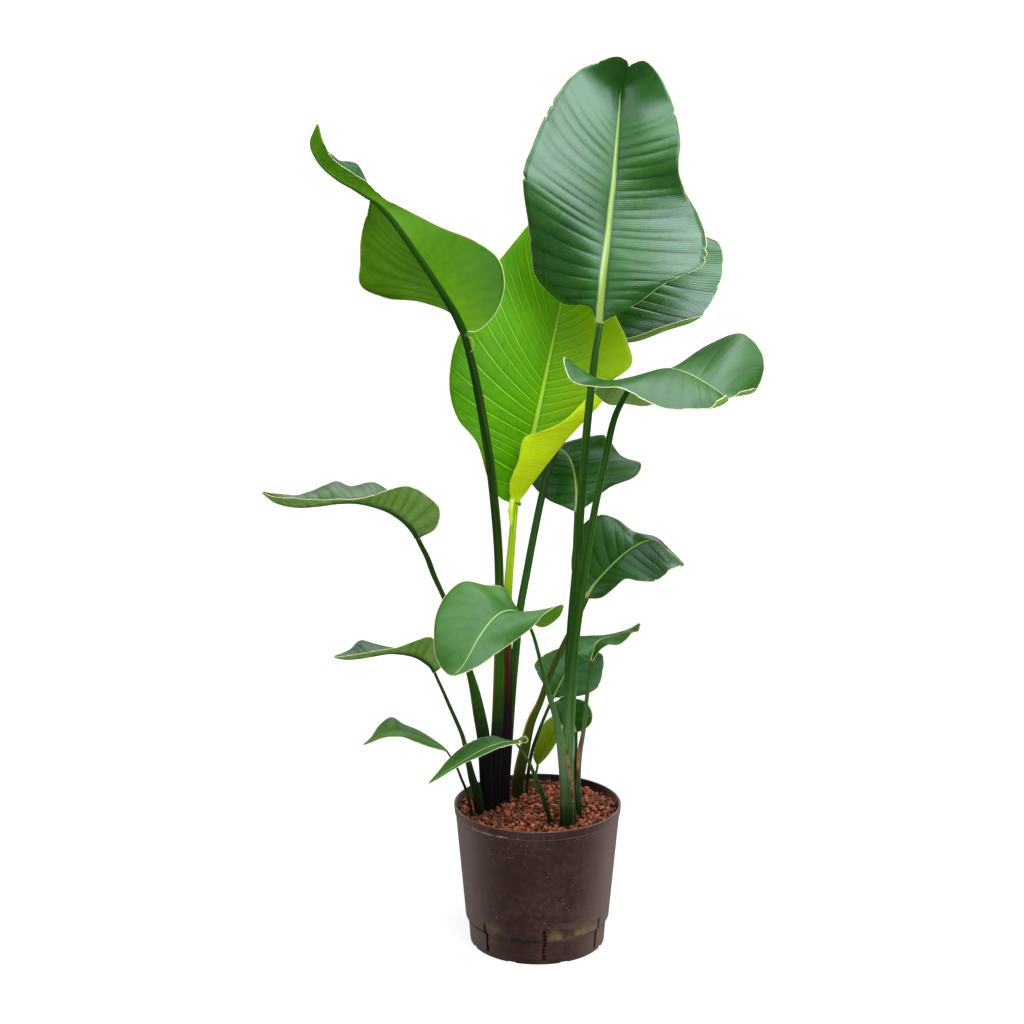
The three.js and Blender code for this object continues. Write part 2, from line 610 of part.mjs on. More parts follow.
function makeGranulate(holes) {
  const floor = potFloor + gap;
  const top = granulateLevel + bedHeadroom;
  const profile = [
    [0, floor],
    [potInnerRadius(floor) - gap, floor],
    [potInnerRadius(potBandHeight) - gap, potBandHeight],
    [potInnerRadius(potStepHeight) - gap, potStepHeight],
    [potInnerRadius(top) - gap, top],
    [0, top],
  ];
  let bed = toSolid(lathe(profile, potSegments)).intersect(toSolid(pelletBed()));
  holes.forEach((hole) => {
    bed = bed.subtract(toSolid(hole));
  });
  return toGeometry(bed);
}

// Rootstock: a thick creeping stem with round ends, widest at mid height
function rootstockGeometry(root, grow) {
  const points = [];
  const triangles = [];
  const turn = THREE.MathUtils.degToRad(root.turn);
  rootLevels.forEach(({ height, width }) => {
    for (let k = 0; k < rootSides; k += 1) {
      const angle = (2 * Math.PI * k) / rootSides;
      const along = (root.halfLength + grow) * width * Math.cos(angle);
      const beside = (root.halfWidth + grow) * width * Math.sin(angle);
      points.push(new THREE.Vector3(
        root.centre[0] + along * Math.cos(turn) - beside * Math.sin(turn),
        root.centre[1] + along * Math.sin(turn) + beside * Math.cos(turn),
        THREE.MathUtils.lerp(rootBottom - grow, rootTop + grow, height),
      ));
    }
  });
  closeTube(points, triangles, rootLevels.length, rootSides);
  return geometryFrom(points, triangles);
}

// Triangles of a closed tube whose rings of points follow each other, with flat ends
function closeTube(points, triangles, rings, sides) {
  for (let i = 0; i + 1 < rings; i += 1) {
    for (let k = 0; k < sides; k += 1) {
      const next = (k + 1) % sides;
      const a = i * sides + k;
      const b = i * sides + next;
      triangles.push([a, b, b + sides], [a, b + sides, a + sides]);
    }
  }
  const last = (rings - 1) * sides;
  for (let k = 1; k + 1 < sides; k += 1) {
    triangles.push([0, k + 1, k], [last, last + k, last + k + 1]);
  }
}

// Curve through the given points, all leaf curves alike
function smoothCurve(points) {
  return new THREE.CatmullRomCurve3(points, false, 'centripetal');
}

// Direction of the upper face near the start of the blade
function upperFace(leaf) {
  const [, first, second] = leaf.blade.map((row) => row.map((point) => point && onSheet(point)));
  const along = second[0].clone().sub(onSheet(leaf.blade[0][0]));
  const beside = second[2].clone().sub(second[1]).add(first[2]).sub(first[1]);
  return beside.cross(along).normalize();
}

// Rings of the stalk from the rootstock to just short of the blade. The channel faces the front or the back
// at the foot and turns to the upper face of the blade on the way up.
function stalkRings(leaf, grow) {
  const foot = new THREE.Vector3(leaf.foot[0], leaf.foot[1], rootTop + gap);
  const ground = new THREE.Vector3(leaf.foot[0], leaf.foot[1], granulateLevel - buriedDepth);
  const curve = smoothCurve([foot, ground, ...leaf.stalk.map(onSheet)]);
  const surfaceWidth = leaf.stalk[0][3];
  const widths = [surfaceWidth * buriedShare, surfaceWidth, ...leaf.stalk.map((row) => row[3])];
  const topFace = upperFace(leaf);
  const footFace = new THREE.Vector3(0, topFace.y < 0 ? -1 : 1, 0);
  const rings = [];
  for (let i = 0; i <= stalkSteps; i += 1) {
    const share = i / stalkSteps;
    const place = curve.getPointAt(share);
    const tangent = curve.getTangentAt(share);
    const t = curve.getUtoTmapping(share) * (widths.length - 1);
    const index = Math.min(widths.length - 2, Math.floor(t));
    const width = THREE.MathUtils.lerp(widths[index], widths[index + 1], t - index);
    const face = footFace.clone().lerp(topFace, share ** 2);
    const side = new THREE.Vector3().crossVectors(tangent, face).normalize();
    const front = new THREE.Vector3().crossVectors(side, tangent).normalize();
    const thickness = width * THREE.MathUtils.lerp(footFlatness, tipFlatness, share);
    const ring = [];
    for (let k = 0; k < stalkSides; k += 1) {
      const angle = (2 * Math.PI * k) / stalkSides;
      const groove = k === 0 ? 1 - grooveDepth : 1;
      ring.push(place.clone()
        .addScaledVector(front, (thickness / 2 + grow) * Math.cos(angle) * groove)
        .addScaledVector(side, (width / 2 + grow) * Math.sin(angle)));
    }
    rings.push(ring);
  }
  const end = { place: curve.getPointAt(1), tangent: curve.getTangentAt(1), width: widths.at(-1) };
  end.side = new THREE.Vector3().crossVectors(end.tangent, topFace).normalize();
  end.front = new THREE.Vector3().crossVectors(end.side, end.tangent).normalize();
  return { rings, end };
}

function ringsGeometry(rings) {
  const points = rings.flat();
  const triangles = [];
  closeTube(points, triangles, rings.length, stalkSides);
  return geometryFrom(points, triangles);
}

// Hole for a stalk: the stalk's own rings, grown by the clearance, up to clear of the bed
function stalkHole(leaf) {
  const { rings } = stalkRings(leaf, gap);
  const clear = granulateLevel + granulateMound + pelletHeight + holeHeadroom;
  const count = rings.findIndex((ring) => ring.every((p) => p.z > clear)) + 1;
  const used = rings.slice(0, count);
  used[0] = used[0].map((p) => p.clone().setZ(p.z - gap * 2));
  return ringsGeometry(used);
}

// Blade: a thin curved sheet with the midrib as a keel below it, pleated along its side veins
function bladeGeometry(leaf) {
  const { end } = stalkRings(leaf, 0);
  const start = end.place.clone().addScaledVector(end.tangent, gap);
  const neck = (sign) => start.clone().addScaledVector(end.side, (sign * end.width) / 2);
  const stations = [
    [start, neck(-1), neck(1)],
    ...leaf.blade.slice(1).map((row) => row.map((point) => point && onSheet(point))),
  ];
  const rail = (i) => smoothCurve(stations.map((row) => row[i]));
  const [rib, left, right] = [0, 1, 2].map(rail);
  const middle = (side, i) => (stations.some((row) => row[i])
    ? smoothCurve(stations.map((row) => row[i] ?? row[0].clone().lerp(row[side], 0.5)))
    : null);
  const rolled = { right: middle(2, 3), left: middle(1, 4) };
  const half = leaf.columns / 2;
  const spread = [];
  for (let k = 0; k < half; k += 1) {
    spread.push(k === 0 ? keelShare : THREE.MathUtils.lerp(keelShare, 1, k / (half - 1)));
  }
  const across = [...spread.map((s) => -s).reverse(), 0, ...spread];
  const sheet = [];
  for (let i = 0; i <= leaf.rows; i += 1) {
    const t = i / leaf.rows;
    const core = rib.getPoint(t);
    const ends = { left: left.getPoint(t), right: right.getPoint(t) };
    const normal = ends.right.clone().sub(ends.left).cross(rib.getTangent(t)).normalize();
    sheet.push(across.map((v) => {
      const side = v < 0 ? 'left' : 'right';
      const edge = ends[side];
      const s = Math.abs(v);
      const halfway = rolled[side]
        ? rolled[side].getPoint(t)
        : core.clone().lerp(edge, 0.5).addScaledVector(normal, leaf.camber * edge.distanceTo(core));
      const fade = Math.sin(Math.PI * Math.min(1, s * pleatReach)) ** 2;
      const pleat = (i % 2 === 0 ? 1 : -1) * pleatHeight * fade;
      const turn = t * rippleTurns + (v < 0 ? 0 : rippleShift);
      const wave = leaf.ripple * s * s * Math.sin(turn) * Math.sin(Math.PI * t);
      return new THREE.Vector3()
        .addScaledVector(core, (1 - s) * (1 - 2 * s))
        .addScaledVector(halfway, 4 * s * (1 - s))
        .addScaledVector(edge, s * (2 * s - 1))
        .addScaledVector(normal, i === 0 || i === leaf.rows ? 0 : pleat + wave);
    }));
  }
  // Both faces share one triangulation, so they never cross
  const width = across.length;
  const upper = [];
  const lower = [];
  sheet.forEach((row, i) => row.forEach((point, j) => {
    const before = sheet[Math.max(0, i - 1)][j];
    const after = sheet[Math.min(leaf.rows, i + 1)][j];
    const toLeft = row[Math.max(0, j - 1)];
    const toRight = row[Math.min(width - 1, j + 1)];
    const normal = i === 0
      ? end.front
      : toRight.clone().sub(toLeft).cross(after.clone().sub(before)).normalize();
    const taper = 1 - keelTaper * (i / leaf.rows);
    const keel = across[j] === 0 ? keelDepth * taper : 0;
    upper.push(point.clone().addScaledVector(normal, bladeThickness / 2));
    lower.push(point.clone().addScaledVector(normal, -bladeThickness / 2 - keel));
  }));
  const points = [...upper, ...lower];
  const offset = upper.length;
  const triangles = [];
  for (let i = 0; i < leaf.rows; i += 1) {
    for (let j = 0; j + 1 < width; j += 1) {
      const a = i * width + j;
      const b = a + 1;
      const c = a + width + 1;
      const d = a + width;
      triangles.push([a, b, c], [a, c, d]);
      triangles.push([offset + a, offset + c, offset + b], [offset + a, offset + d, offset + c]);
    }
  }
  const border = [];
  for (let j = 0; j + 1 < width; j += 1) {
    border.push([j, j + 1], [leaf.rows * width + j + 1, leaf.rows * width + j]);
  }
  for (let i = 0; i < leaf.rows; i += 1) {
    border.push([(i + 1) * width, i * width], [i * width + width - 1, (i + 1) * width + width - 1]);
  }
  border.forEach(([a, b]) => {
    triangles.push([b, a, offset + a], [b, offset + a, offset + b]);
  });
  return geometryFrom(points, triangles);
}

const plant = new THREE.Group();

function place(name, geometry, kind) {
  const mesh = new THREE.Mesh(geometry, material(kind));
  mesh.name = name;
  plant.add(mesh);
}

place('pot', makePot(), 'pot');
const holes = [
  ...rootstocks.map((root) => rootstockGeometry(root, gap)),
  ...leaves.map(stalkHole),
];
place('granulate', makeGranulate(holes), 'granulate');
rootstocks.forEach((root) => place(root.name, rootstockGeometry(root, 0), 'rootstock'));
leaves.forEach((leaf) => {
  const lime = limeLeaves.includes(leaf.name);
  place(`${leaf.name}_stalk`, ringsGeometry(stalkRings(leaf, 0).rings), lime ? 'limeStalk' : 'stalk');
  place(`${leaf.name}_blade`, bladeGeometry(leaf), lime ? 'limeBlade' : 'blade');
});

export default plant;
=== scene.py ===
import math
from types import SimpleNamespace

import bpy
import numpy as np
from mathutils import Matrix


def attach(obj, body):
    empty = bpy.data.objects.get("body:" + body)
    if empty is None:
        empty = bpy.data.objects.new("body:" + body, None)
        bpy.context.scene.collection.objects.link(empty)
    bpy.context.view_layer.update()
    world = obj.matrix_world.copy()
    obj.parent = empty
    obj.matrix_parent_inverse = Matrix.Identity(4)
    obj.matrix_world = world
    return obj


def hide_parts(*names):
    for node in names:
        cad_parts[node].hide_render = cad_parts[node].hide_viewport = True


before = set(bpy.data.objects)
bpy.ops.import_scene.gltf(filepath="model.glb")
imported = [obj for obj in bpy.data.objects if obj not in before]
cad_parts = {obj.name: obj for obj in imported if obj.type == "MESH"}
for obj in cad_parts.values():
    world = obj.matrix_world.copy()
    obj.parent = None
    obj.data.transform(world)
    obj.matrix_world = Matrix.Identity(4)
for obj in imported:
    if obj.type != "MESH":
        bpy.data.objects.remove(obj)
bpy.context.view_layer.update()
mm = 0.001
print("Frame loaded:", len(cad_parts), "nodes")


# Node helpers. A Wire is an output of a node, and arithmetic with wires adds Math nodes.
class Wire:
    def __init__(self, socket):
        self.socket = socket
        self.tree = socket.id_data

    def __add__(self, other):
        return maths("ADD", self, other)

    def __sub__(self, other):
        return maths("SUBTRACT", self, other)

    def __rsub__(self, other):
        return maths("SUBTRACT", other, self)

    def __mul__(self, other):
        return maths("MULTIPLY", self, other)


def feed(socket, value):  # links a wire, or sets a plain value
    if isinstance(value, Wire):
        value.tree.links.new(value.socket, socket)
    else:
        socket.default_value = (*value[:3], 1) if socket.type == "RGBA" else value


def put(tree, kind, inputs=None, **settings):  # adds a node, with values or wires for its inputs
    node = tree.nodes.new("ShaderNode" + kind)
    for key, value in settings.items():
        setattr(node, key, value)
    for key, value in (inputs or {}).items():
        feed(node.inputs[key], value)
    return node


def wire(tree, kind, output, inputs=None, **settings):  # adds a node, and gives one of its outputs
    return Wire(put(tree, kind, inputs, **settings).outputs[output])


def maths(operation, *values, clamp=False):
    tree = next(value.tree for value in values if isinstance(value, Wire))
    return wire(tree, "Math", 0, dict(enumerate(values)), operation=operation, use_clamp=clamp)


def between(value, low, high, outLow=0.0, outHigh=1.0):  # smooth step from low to high
    inputs = {"Value": value, "From Min": low, "From Max": high, "To Min": outLow, "To Max": outHigh}
    return wire(value.tree, "MapRange", "Result", inputs, interpolation_type="SMOOTHSTEP")


def band(value, start, full, fade, end):  # rises from start to full, and falls from fade to end
    return between(value, start, full) * between(value, end, fade)


def blend(amount, first, second, kind="MIX"):
    inputs = {0: amount, 6: first, 7: second}
    return wire(amount.tree, "Mix", 2, inputs, data_type="RGBA", blend_type=kind)


def noise(where, scale, detail=3.0, rough=0.55):
    inputs = {"Vector": where, "Scale": scale, "Detail": detail, "Roughness": rough}
    return wire(where.tree, "TexNoise", "Fac", inputs)


def split(vector):
    return [Wire(socket) for socket in put(vector.tree, "SeparateXYZ", {0: vector}).outputs]


def objectPlace(tree):
    return wire(tree, "TexCoord", "Object")


def readMap(tree, name):  # the two values that a mesh carries in one of its maps
    return split(wire(tree, "UVMap", 0, uv_map=name))[:2]


def makeGroup(name, inputs, outputs):
    group = bpy.data.node_groups.new(name, "ShaderNodeTree")
    for label, value in inputs.items():
        tinted = isinstance(value, tuple)
        kind = "NodeSocketColor" if tinted else "NodeSocketFloat"
        socket = group.interface.new_socket(name=label, in_out="INPUT", socket_type=kind)
        socket.default_value = (*value, 1) if tinted else value
    for label, kind in outputs.items():
        group.interface.new_socket(name=label, in_out="OUTPUT", socket_type="NodeSocket" + kind)
    given = {socket.name: Wire(socket) for socket in group.nodes.new("NodeGroupInput").outputs}
    return group, given, group.nodes.new("NodeGroupOutput").inputs


def useGroup(tree, name, values):
    node = put(tree, "Group", values, node_tree=surface[name])
    return {socket.name: Wire(socket) for socket in node.outputs}


def mottled(tree, size, fineSize, fineShare):
    return useGroup(tree, "mottle", {"Size": size, "Fine Size": fineSize, "Fine Share": fineShare})["Value"]


def newMaterial(name):
    material = bpy.data.materials.new(name)
    material.use_nodes = True
    tree = material.node_tree
    return material, tree, tree.nodes["Principled BSDF"]


def setShader(shader, colour, roughness, height=None, strength=0.4, reach=0.001, **plain):
    feed(shader.inputs["Base Color"], colour)
    feed(shader.inputs["Roughness"], roughness)
    if height is not None:
        bump = {"Height": height, "Strength": strength, "Distance": reach}
        feed(shader.inputs["Normal"], wire(shader.id_data, "Bump", "Normal", bump))
    for key, value in plain.items():
        shader.inputs[key.replace("_", " ")].default_value = value


def addObject(name, data):
    added = bpy.data.objects.new(name, data)
    bpy.context.scene.collection.objects.link(added)
    return added


# Camera where the photograph was taken from, and soft studio light
view = {"place": (-0.0336, -2.6, 1.1705), "pitch": 12.763, "lens": 73.45, "sensor": 36.0, "farthest": 60.0}
studio = {
    "backdrop": (1.0, 1.0, 1.0), "backdropStrength": 1.15,  # what the camera sees behind the plant
    "fill": (-0.1, 0.9, 0.14, 0.6),  # even light from the room: from and to, then its strength at each
    "sheen": (0.1, 0.95, 0.02, 0.55),  # what glossy surfaces mirror of the room, in the same way
    "floor": (0.9, 0.9, 0.895), "floorSize": 60.0, "floorShade": 0.98, "floorCloud": 0.6,
    "floorBleach": (0.4, 4.0, 0.62, 1.0), "floorStrength": 1.25,  # how the camera sees it, by distance
    "floorMirrored": 0.18,  # how bright glossy surfaces mirror the floor
    "lamps": {  # place, size, power, and the point that the lamp shines at
        "topLamp": ((0.05, -0.8, 3.3), (1.5, 2.0), 96.0, (0.0, 0.0, 0.8)),
        "keyLamp": ((1.44, -1.9, 2.34), (3.0, 1.1), 56.0, (0.05, -0.05, 0.9)),
        "rightLamp": ((2.36, 0.57, 2.47), (0.9, 1.2), 14.0, (-0.1, 0.0, 0.9)),
        "leftLamp": ((-2.5, -0.7, 1.7), (0.8, 1.5), 13.0, (0.0, 0.0, 0.8)),
        "backLamp": ((0.2, 2.4, 2.2), (1.6, 1.2), 9.0, (0.0, 0.0, 0.8)),
    },
    "sheens": {  # softboxes that show only as a sheen on the leaves and the pot
        "frontSheen": ((1.2, -2.46, 2.2), (4.0, 1.9), 150.0, (0.05, 0.0, 1.0)),
        "overheadSheen": ((0.7, 0.55, 3.2), (1.7, 1.4), 60.0, (0.05, 0.0, 1.0)),
        "cornerSheen": ((-1.5, -1.6, 3.0), (1.7, 1.4), 60.0, (0.05, 0.0, 1.0)),
    },
}


def makeCamera():
    camera = bpy.data.cameras.new("studioCamera")
    camera.lens = view["lens"]
    camera.sensor_width = view["sensor"]
    camera.clip_end = view["farthest"]
    holder = addObject("studioCamera", camera)
    holder.location = view["place"]
    holder.rotation_euler = (math.radians(90 - view["pitch"]), 0, 0)
    bpy.context.scene.camera = holder


def makeRoom():
    world = bpy.data.worlds.new("paleRoom")
    world.use_nodes = True
    tree = world.node_tree
    room = tree.nodes["Background"]
    depth = split(wire(tree, "TexCoord", "Generated"))[1]
    strength = {0: wire(tree, "LightPath", "Is Glossy Ray"), 2: between(depth, *studio["fill"]),
                3: between(depth, *studio["sheen"])}
    feed(room.inputs["Strength"], wire(tree, "Mix", 0, strength))
    feed(room.inputs["Color"], (1, 1, 1))
    backdrop = {"Color": studio["backdrop"], "Strength": studio["backdropStrength"]}
    seen = {0: wire(tree, "LightPath", "Is Camera Ray"), 1: Wire(room.outputs[0]),
            2: wire(tree, "Background", 0, backdrop)}
    feed(tree.nodes["World Output"].inputs["Surface"], wire(tree, "MixShader", 0, seen))
    bpy.context.scene.world = world
    bpy.context.scene.view_settings.view_transform = "Standard"


def makeLamps():
    for name, (place, size, power, aim) in {**studio["lamps"], **studio["sheens"]}.items():
        data = bpy.data.lights.new(name, "AREA")
        data.shape = "RECTANGLE"
        data.size, data.size_y = size
        data.energy = power
        light = addObject(name, data)
        light.visible_camera = False
        light.visible_diffuse = name in studio["lamps"]
        light.location = place
        across, ahead, up = (a - p for a, p in zip(aim, place))
        light.rotation_euler = (math.atan2(math.hypot(across, ahead), -up), 0, math.atan2(-across, ahead))


def paleFloor():
    material, tree, shader = newMaterial("paleFloor")
    where = objectPlace(tree)
    shaded = [studio["floorShade"] * channel for channel in studio["floor"]]
    colour = blend(noise(where, studio["floorCloud"]), studio["floor"], shaded)
    setShader(shader, colour, 0.9, Specular_IOR_Level=0.1)
    away = wire(tree, "VectorMath", "Value", {0: where}, operation="LENGTH")
    share = wire(tree, "LightPath", "Is Camera Ray") * between(away, *studio["floorBleach"])
    bleach = wire(tree, "Emission", 0, {"Color": studio["backdrop"], "Strength": studio["floorStrength"]})
    seen = wire(tree, "MixShader", 0, {0: share, 1: Wire(shader.outputs[0]), 2: bleach})
    dim = wire(tree, "Emission", 0, {"Color": studio["backdrop"], "Strength": studio["floorMirrored"]})
    whole = {0: wire(tree, "LightPath", "Is Glossy Ray"), 1: seen, 2: dim}
    feed(tree.nodes["Material Output"].inputs["Surface"], wire(tree, "MixShader", 0, whole))
    return material


def makeFloor():
    half = studio["floorSize"] / 2
    mesh = bpy.data.meshes.new("floor")
    corners = [(-half, -half, 0), (half, -half, 0), (half, half, 0), (-half, half, 0)]
    mesh.from_pydata(corners, [], [(0, 1, 2, 3)])
    mesh.materials.append(paleFloor())
    addObject("floor", mesh)


makeCamera()
makeRoom()
makeLamps()
makeFloor()
print("Camera, floor and lamps placed")


# Shared surface effects, each a node group that materials use. A span of two values is where a mask starts
# and is full, and of four also what it is there.
def mottleGroup():  # cloudy variation from -1 to 1 about the middle, on two scales
    sizes = {"Size": 40.0, "Fine Size": 300.0, "Fine Share": 0.3}
    group, given, result = makeGroup("cloudyMottle", sizes, {"Value": "Float"})
    where = objectPlace(group)
    coarse = noise(where, given["Size"], 2.0)
    fine = noise(where, given["Fine Size"])
    feed(result["Value"], (coarse + (fine - 0.5) * given["Fine Share"] - 0.5) * 3.0)
    return group


def speckGroup():  # small round specks, scattered
    sizes = {"Density": 60.0, "Size": 0.1, "Patches": 8.0}
    group, given, result = makeGroup("looseSpecks", sizes, {"Mask": "Float"})
    where = objectPlace(group)
    fromDot = wire(group, "TexVoronoi", "Distance", {"Vector": where, "Scale": given["Density"]})
    patches = between(noise(where, given["Patches"], 2.0), 0.5, 0.62)
    feed(result["Mask"], maths("LESS_THAN", fromDot, given["Size"]) * patches)
    return group


# The tops of the pleats are painted lighter as a highlight, and their creases are painted darker as shade.
skinShape = {
    "crease": (0.88, 1.0), "pleatTop": (1.0, 0.2),  # across a pleat, from 0 on its top to 1 in the crease
    "tone": 0.36, "cloud": 0.3, "topLight": 0.24, "lineShade": 0.16, "lineSharpness": 2.5,
    "sideTint": (-0.2, 0.9), "creaseFade": (1.0, 45.0, 0.15, 1.0), "besideRib": (2.2, 1.1),
    "besideShade": 0.35, "ribRun": (0.0, 0.9), "marginFull": 0.6, "drySize": 22.0, "dryPart": (0.56, 0.68),
    "glossCloud": 0.05, "lineHeight": -0.5, "cloudHeight": 0.1,
}


# The leaf skin paints a highlight on the pleat tops, and shade in the creases and beside the midrib.
def leafSkinGroup():  # veins, midrib and margin of a blade, from the maps that each blade carries
    shape = SimpleNamespace(**skinShape)
    group, given, result = makeGroup(
        "leafSkin",
        {
            "Deep": (0.02, 0.1, 0.01), "Light": (0.06, 0.2, 0.02), "Crease Shade And Vein": (0.01, 0.05, 0.01),
            "Rib": (0.4, 0.5, 0.1), "Rib Tip": (0.3, 0.45, 0.1), "Margin": (0.7, 0.75, 0.4),
            "Dry Edge": (0.2, 0.11, 0.035), "Side Tint": (0.2, 0.4, 0.01), "Side Share": 0.0, "Side Way": 1.0,
            "Crease Depth": 0.5, "Fine Lines": 6.0, "Margin Width": 1.2, "Rib Softness": 0.4, "Gloss": 0.38,
        },
        {"Colour": "Color", "Roughness": "Float", "Height": "Float"},
    )
    phase, run = readMap(group, "veins")
    ribReach, marginReach = readMap(group, "edges")
    pleated, side = readMap(group, "form")
    mottle = mottled(group, 14.0, 120.0, 0.5)

    fromMiddle = maths("ABSOLUTE", maths("FRACT", phase) - 0.5) * 2.0  # 0 on top of a pleat, 1 in a crease
    crease = between(fromMiddle, *shape.crease) * pleated
    pleatTop = between(fromMiddle, *shape.pleatTop) * pleated
    lines = maths("SINE", phase * (given["Fine Lines"] * (2 * math.pi))) * 0.5 + 0.5
    fine = maths("POWER", lines, shape.lineSharpness) * pleated

    # painted highlight: the tops of the pleats are painted lighter
    lit = mottle * shape.cloud + shape.tone + pleatTop * shape.topLight
    tone = maths("SUBTRACT", lit, fine * shape.lineShade, clamp=True)
    colour = blend(tone, given["Deep"], given["Light"])
    tint = between(side * given["Side Way"], *shape.sideTint) * given["Side Share"]
    colour = blend(tint, colour, given["Side Tint"])
    fade = between(marginReach, *shape.creaseFade)
    # painted shade in the creases: towards the crease colour, which is dark shade on most tones and the
    # lighter vein colour on lime
    colour = blend(crease * given["Crease Depth"] * fade, colour, given["Crease Shade And Vein"])
    colour = blend(between(ribReach, *shape.besideRib) * shape.besideShade, colour, given["Deep"])
    ribMask = between(ribReach, 1.0, 1.0 - given["Rib Softness"])
    colour = blend(ribMask, colour, blend(between(run, *shape.ribRun), given["Rib"], given["Rib Tip"]))
    dry = between(noise(objectPlace(group), shape.drySize, 4.0), *shape.dryPart)
    marginMask = between(marginReach, given["Margin Width"], given["Margin Width"] * shape.marginFull)
    colour = blend(marginMask, colour, blend(dry, given["Margin"], given["Dry Edge"]))
    feed(result["Colour"], colour)
    feed(result["Roughness"], mottle * shape.glossCloud + given["Gloss"])
    feed(result["Height"], (fine * shape.lineHeight + mottle * shape.cloudHeight) * (1.0 - ribMask))
    return group


surface = {}
for name, makeEffect in (("mottle", mottleGroup), ("specks", speckGroup), ("leafSkin", leafSkinGroup)):
    surface[name] = makeEffect()
print("Shared effects made:", ", ".join(surface))


# Meshes, in millimetres until they are built
def buildMesh(name, points, faces, materials, faceMaterial=None, maps=None):
    mesh = bpy.data.meshes.new(name)
    corners = np.concatenate([f.ravel() for f in faces]).astype(np.int32)  # arrays of triangles or quads
    sizes = np.concatenate([np.full(len(f), f.shape[1]) for f in faces])
    mesh.vertices.add(len(points))
    mesh.vertices.foreach_set("co", (np.asarray(points) * mm).astype(np.float32).ravel())
    mesh.loops.add(len(corners))
    mesh.loops.foreach_set("vertex_index", corners)
    mesh.polygons.add(len(sizes))
    mesh.polygons.foreach_set("loop_start", (np.cumsum(sizes) - sizes).astype(np.int32))
    mesh.update(calc_edges=True)
    mesh.polygons.foreach_set("use_smooth", np.full(len(sizes), True))
    for label, values in (maps or {}).items():
        layer = mesh.uv_layers.new(name=label)
        layer.data.foreach_set("uv", np.asarray(values, dtype=np.float32)[corners].ravel())
    for material in materials:
        mesh.materials.append(material)
    if faceMaterial is not None:
        mesh.polygons.foreach_set("material_index", np.asarray(faceMaterial, dtype=np.int32))
    mesh.validate()
    return addObject(name, mesh)


def settle(piece, slot, *nodes):
    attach(piece, "root")
    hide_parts(*nodes)


def gridQuads(rows, columns, start=0, wrap=False, flip=False):
    i, j = np.meshgrid(np.arange(rows - 1), np.arange(columns if wrap else columns - 1), indexing="ij")
    low, after = i * columns, (j + 1) % columns
    high = low + columns
    quads = np.stack([low + j, low + after, high + after, high + j], -1).reshape(-1, 4) + start
    return quads[:, ::-1] if flip else quads


def closedTube(rings, low, high):  # a tube through rings of points, closed to a point at both ends
    rows, count = rings.shape[:2]
    k = np.arange(count)
    after = (k + 1) % count
    last = (rows - 1) * count
    caps = np.vstack([np.stack([after, k, np.full(count, rows * count)], -1),
                      np.stack([last + k, last + after, np.full(count, rows * count + 1)], -1)])
    return np.vstack([rings.reshape(-1, 3), low, high]), [gridQuads(rows, count, wrap=True), caps]


# Curves: each passes through its points, evenly from point to point
def curveAt(points, t):
    points = np.asarray(points, float)
    last = len(points) - 1
    place = np.clip(np.atleast_1d(t), 0, 1) * last
    index = np.minimum(place.astype(int), last - 1)
    share = (place - index)[:, None]
    padded = np.vstack([2 * points[0] - points[1], points, 2 * points[-1] - points[-2]])
    before, start, end, after = (padded[index + k] for k in range(4))
    gap = [np.sqrt(np.linalg.norm(b - a, axis=1, keepdims=True))
           for a, b in ((before, start), (start, end), (end, after))]
    closest = 1e-4
    gap[1] = np.where(gap[1] < closest, 1.0, gap[1])
    gap[0], gap[2] = (np.where(gap[k] < closest, gap[1], gap[k]) for k in (0, 2))
    leave = ((start - before) / gap[0] - (end - before) / (gap[0] + gap[1]) + (end - start) / gap[1]) * gap[1]
    arrive = ((end - start) / gap[1] - (after - start) / (gap[1] + gap[2]) + (after - end) / gap[2]) * gap[1]
    return (start + leave * share + (3 * (end - start) - 2 * leave - arrive) * share ** 2
            + (2 * (start - end) + leave + arrive) * share ** 3)


def unit(vectors):
    return vectors / np.maximum(np.linalg.norm(vectors, axis=-1, keepdims=True), 1e-9)


def slopeAt(points, t, step=1e-4):
    return unit(curveAt(points, np.minimum(t + step, 1)) - curveAt(points, np.maximum(t - step, 0)))


def evenSpacing(points, count):  # curve parameters at even distances along it, and its length
    fine = np.linspace(0, 1, 801)
    steps = np.linalg.norm(np.diff(curveAt(points, fine), axis=0), axis=1)
    travelled = np.concatenate([[0], np.cumsum(steps)])
    return np.interp(np.linspace(0, travelled[-1], count), travelled, fine), travelled[-1]


def smoothStep(value, low, high):
    share = np.clip((value - low) / (high - low), 0, 1)
    return share * share * (3 - 2 * share)


# Leaves are laid out on the front sheet: the upright plane through the pot's axis, as seen from the eye.
# A point is [across, up, depth behind the sheet], in millimetres.
eye = np.array([-34.0, -2600.0, 1170.0])


def onSheet(points):
    across, up, depth = np.atleast_2d(np.asarray(points, float))[:, :3].T
    reach = (depth - eye[1]) / -eye[1]
    return np.stack([eye[0] + (across - eye[0]) * reach, depth, eye[2] + (up - eye[2]) * reach], -1)


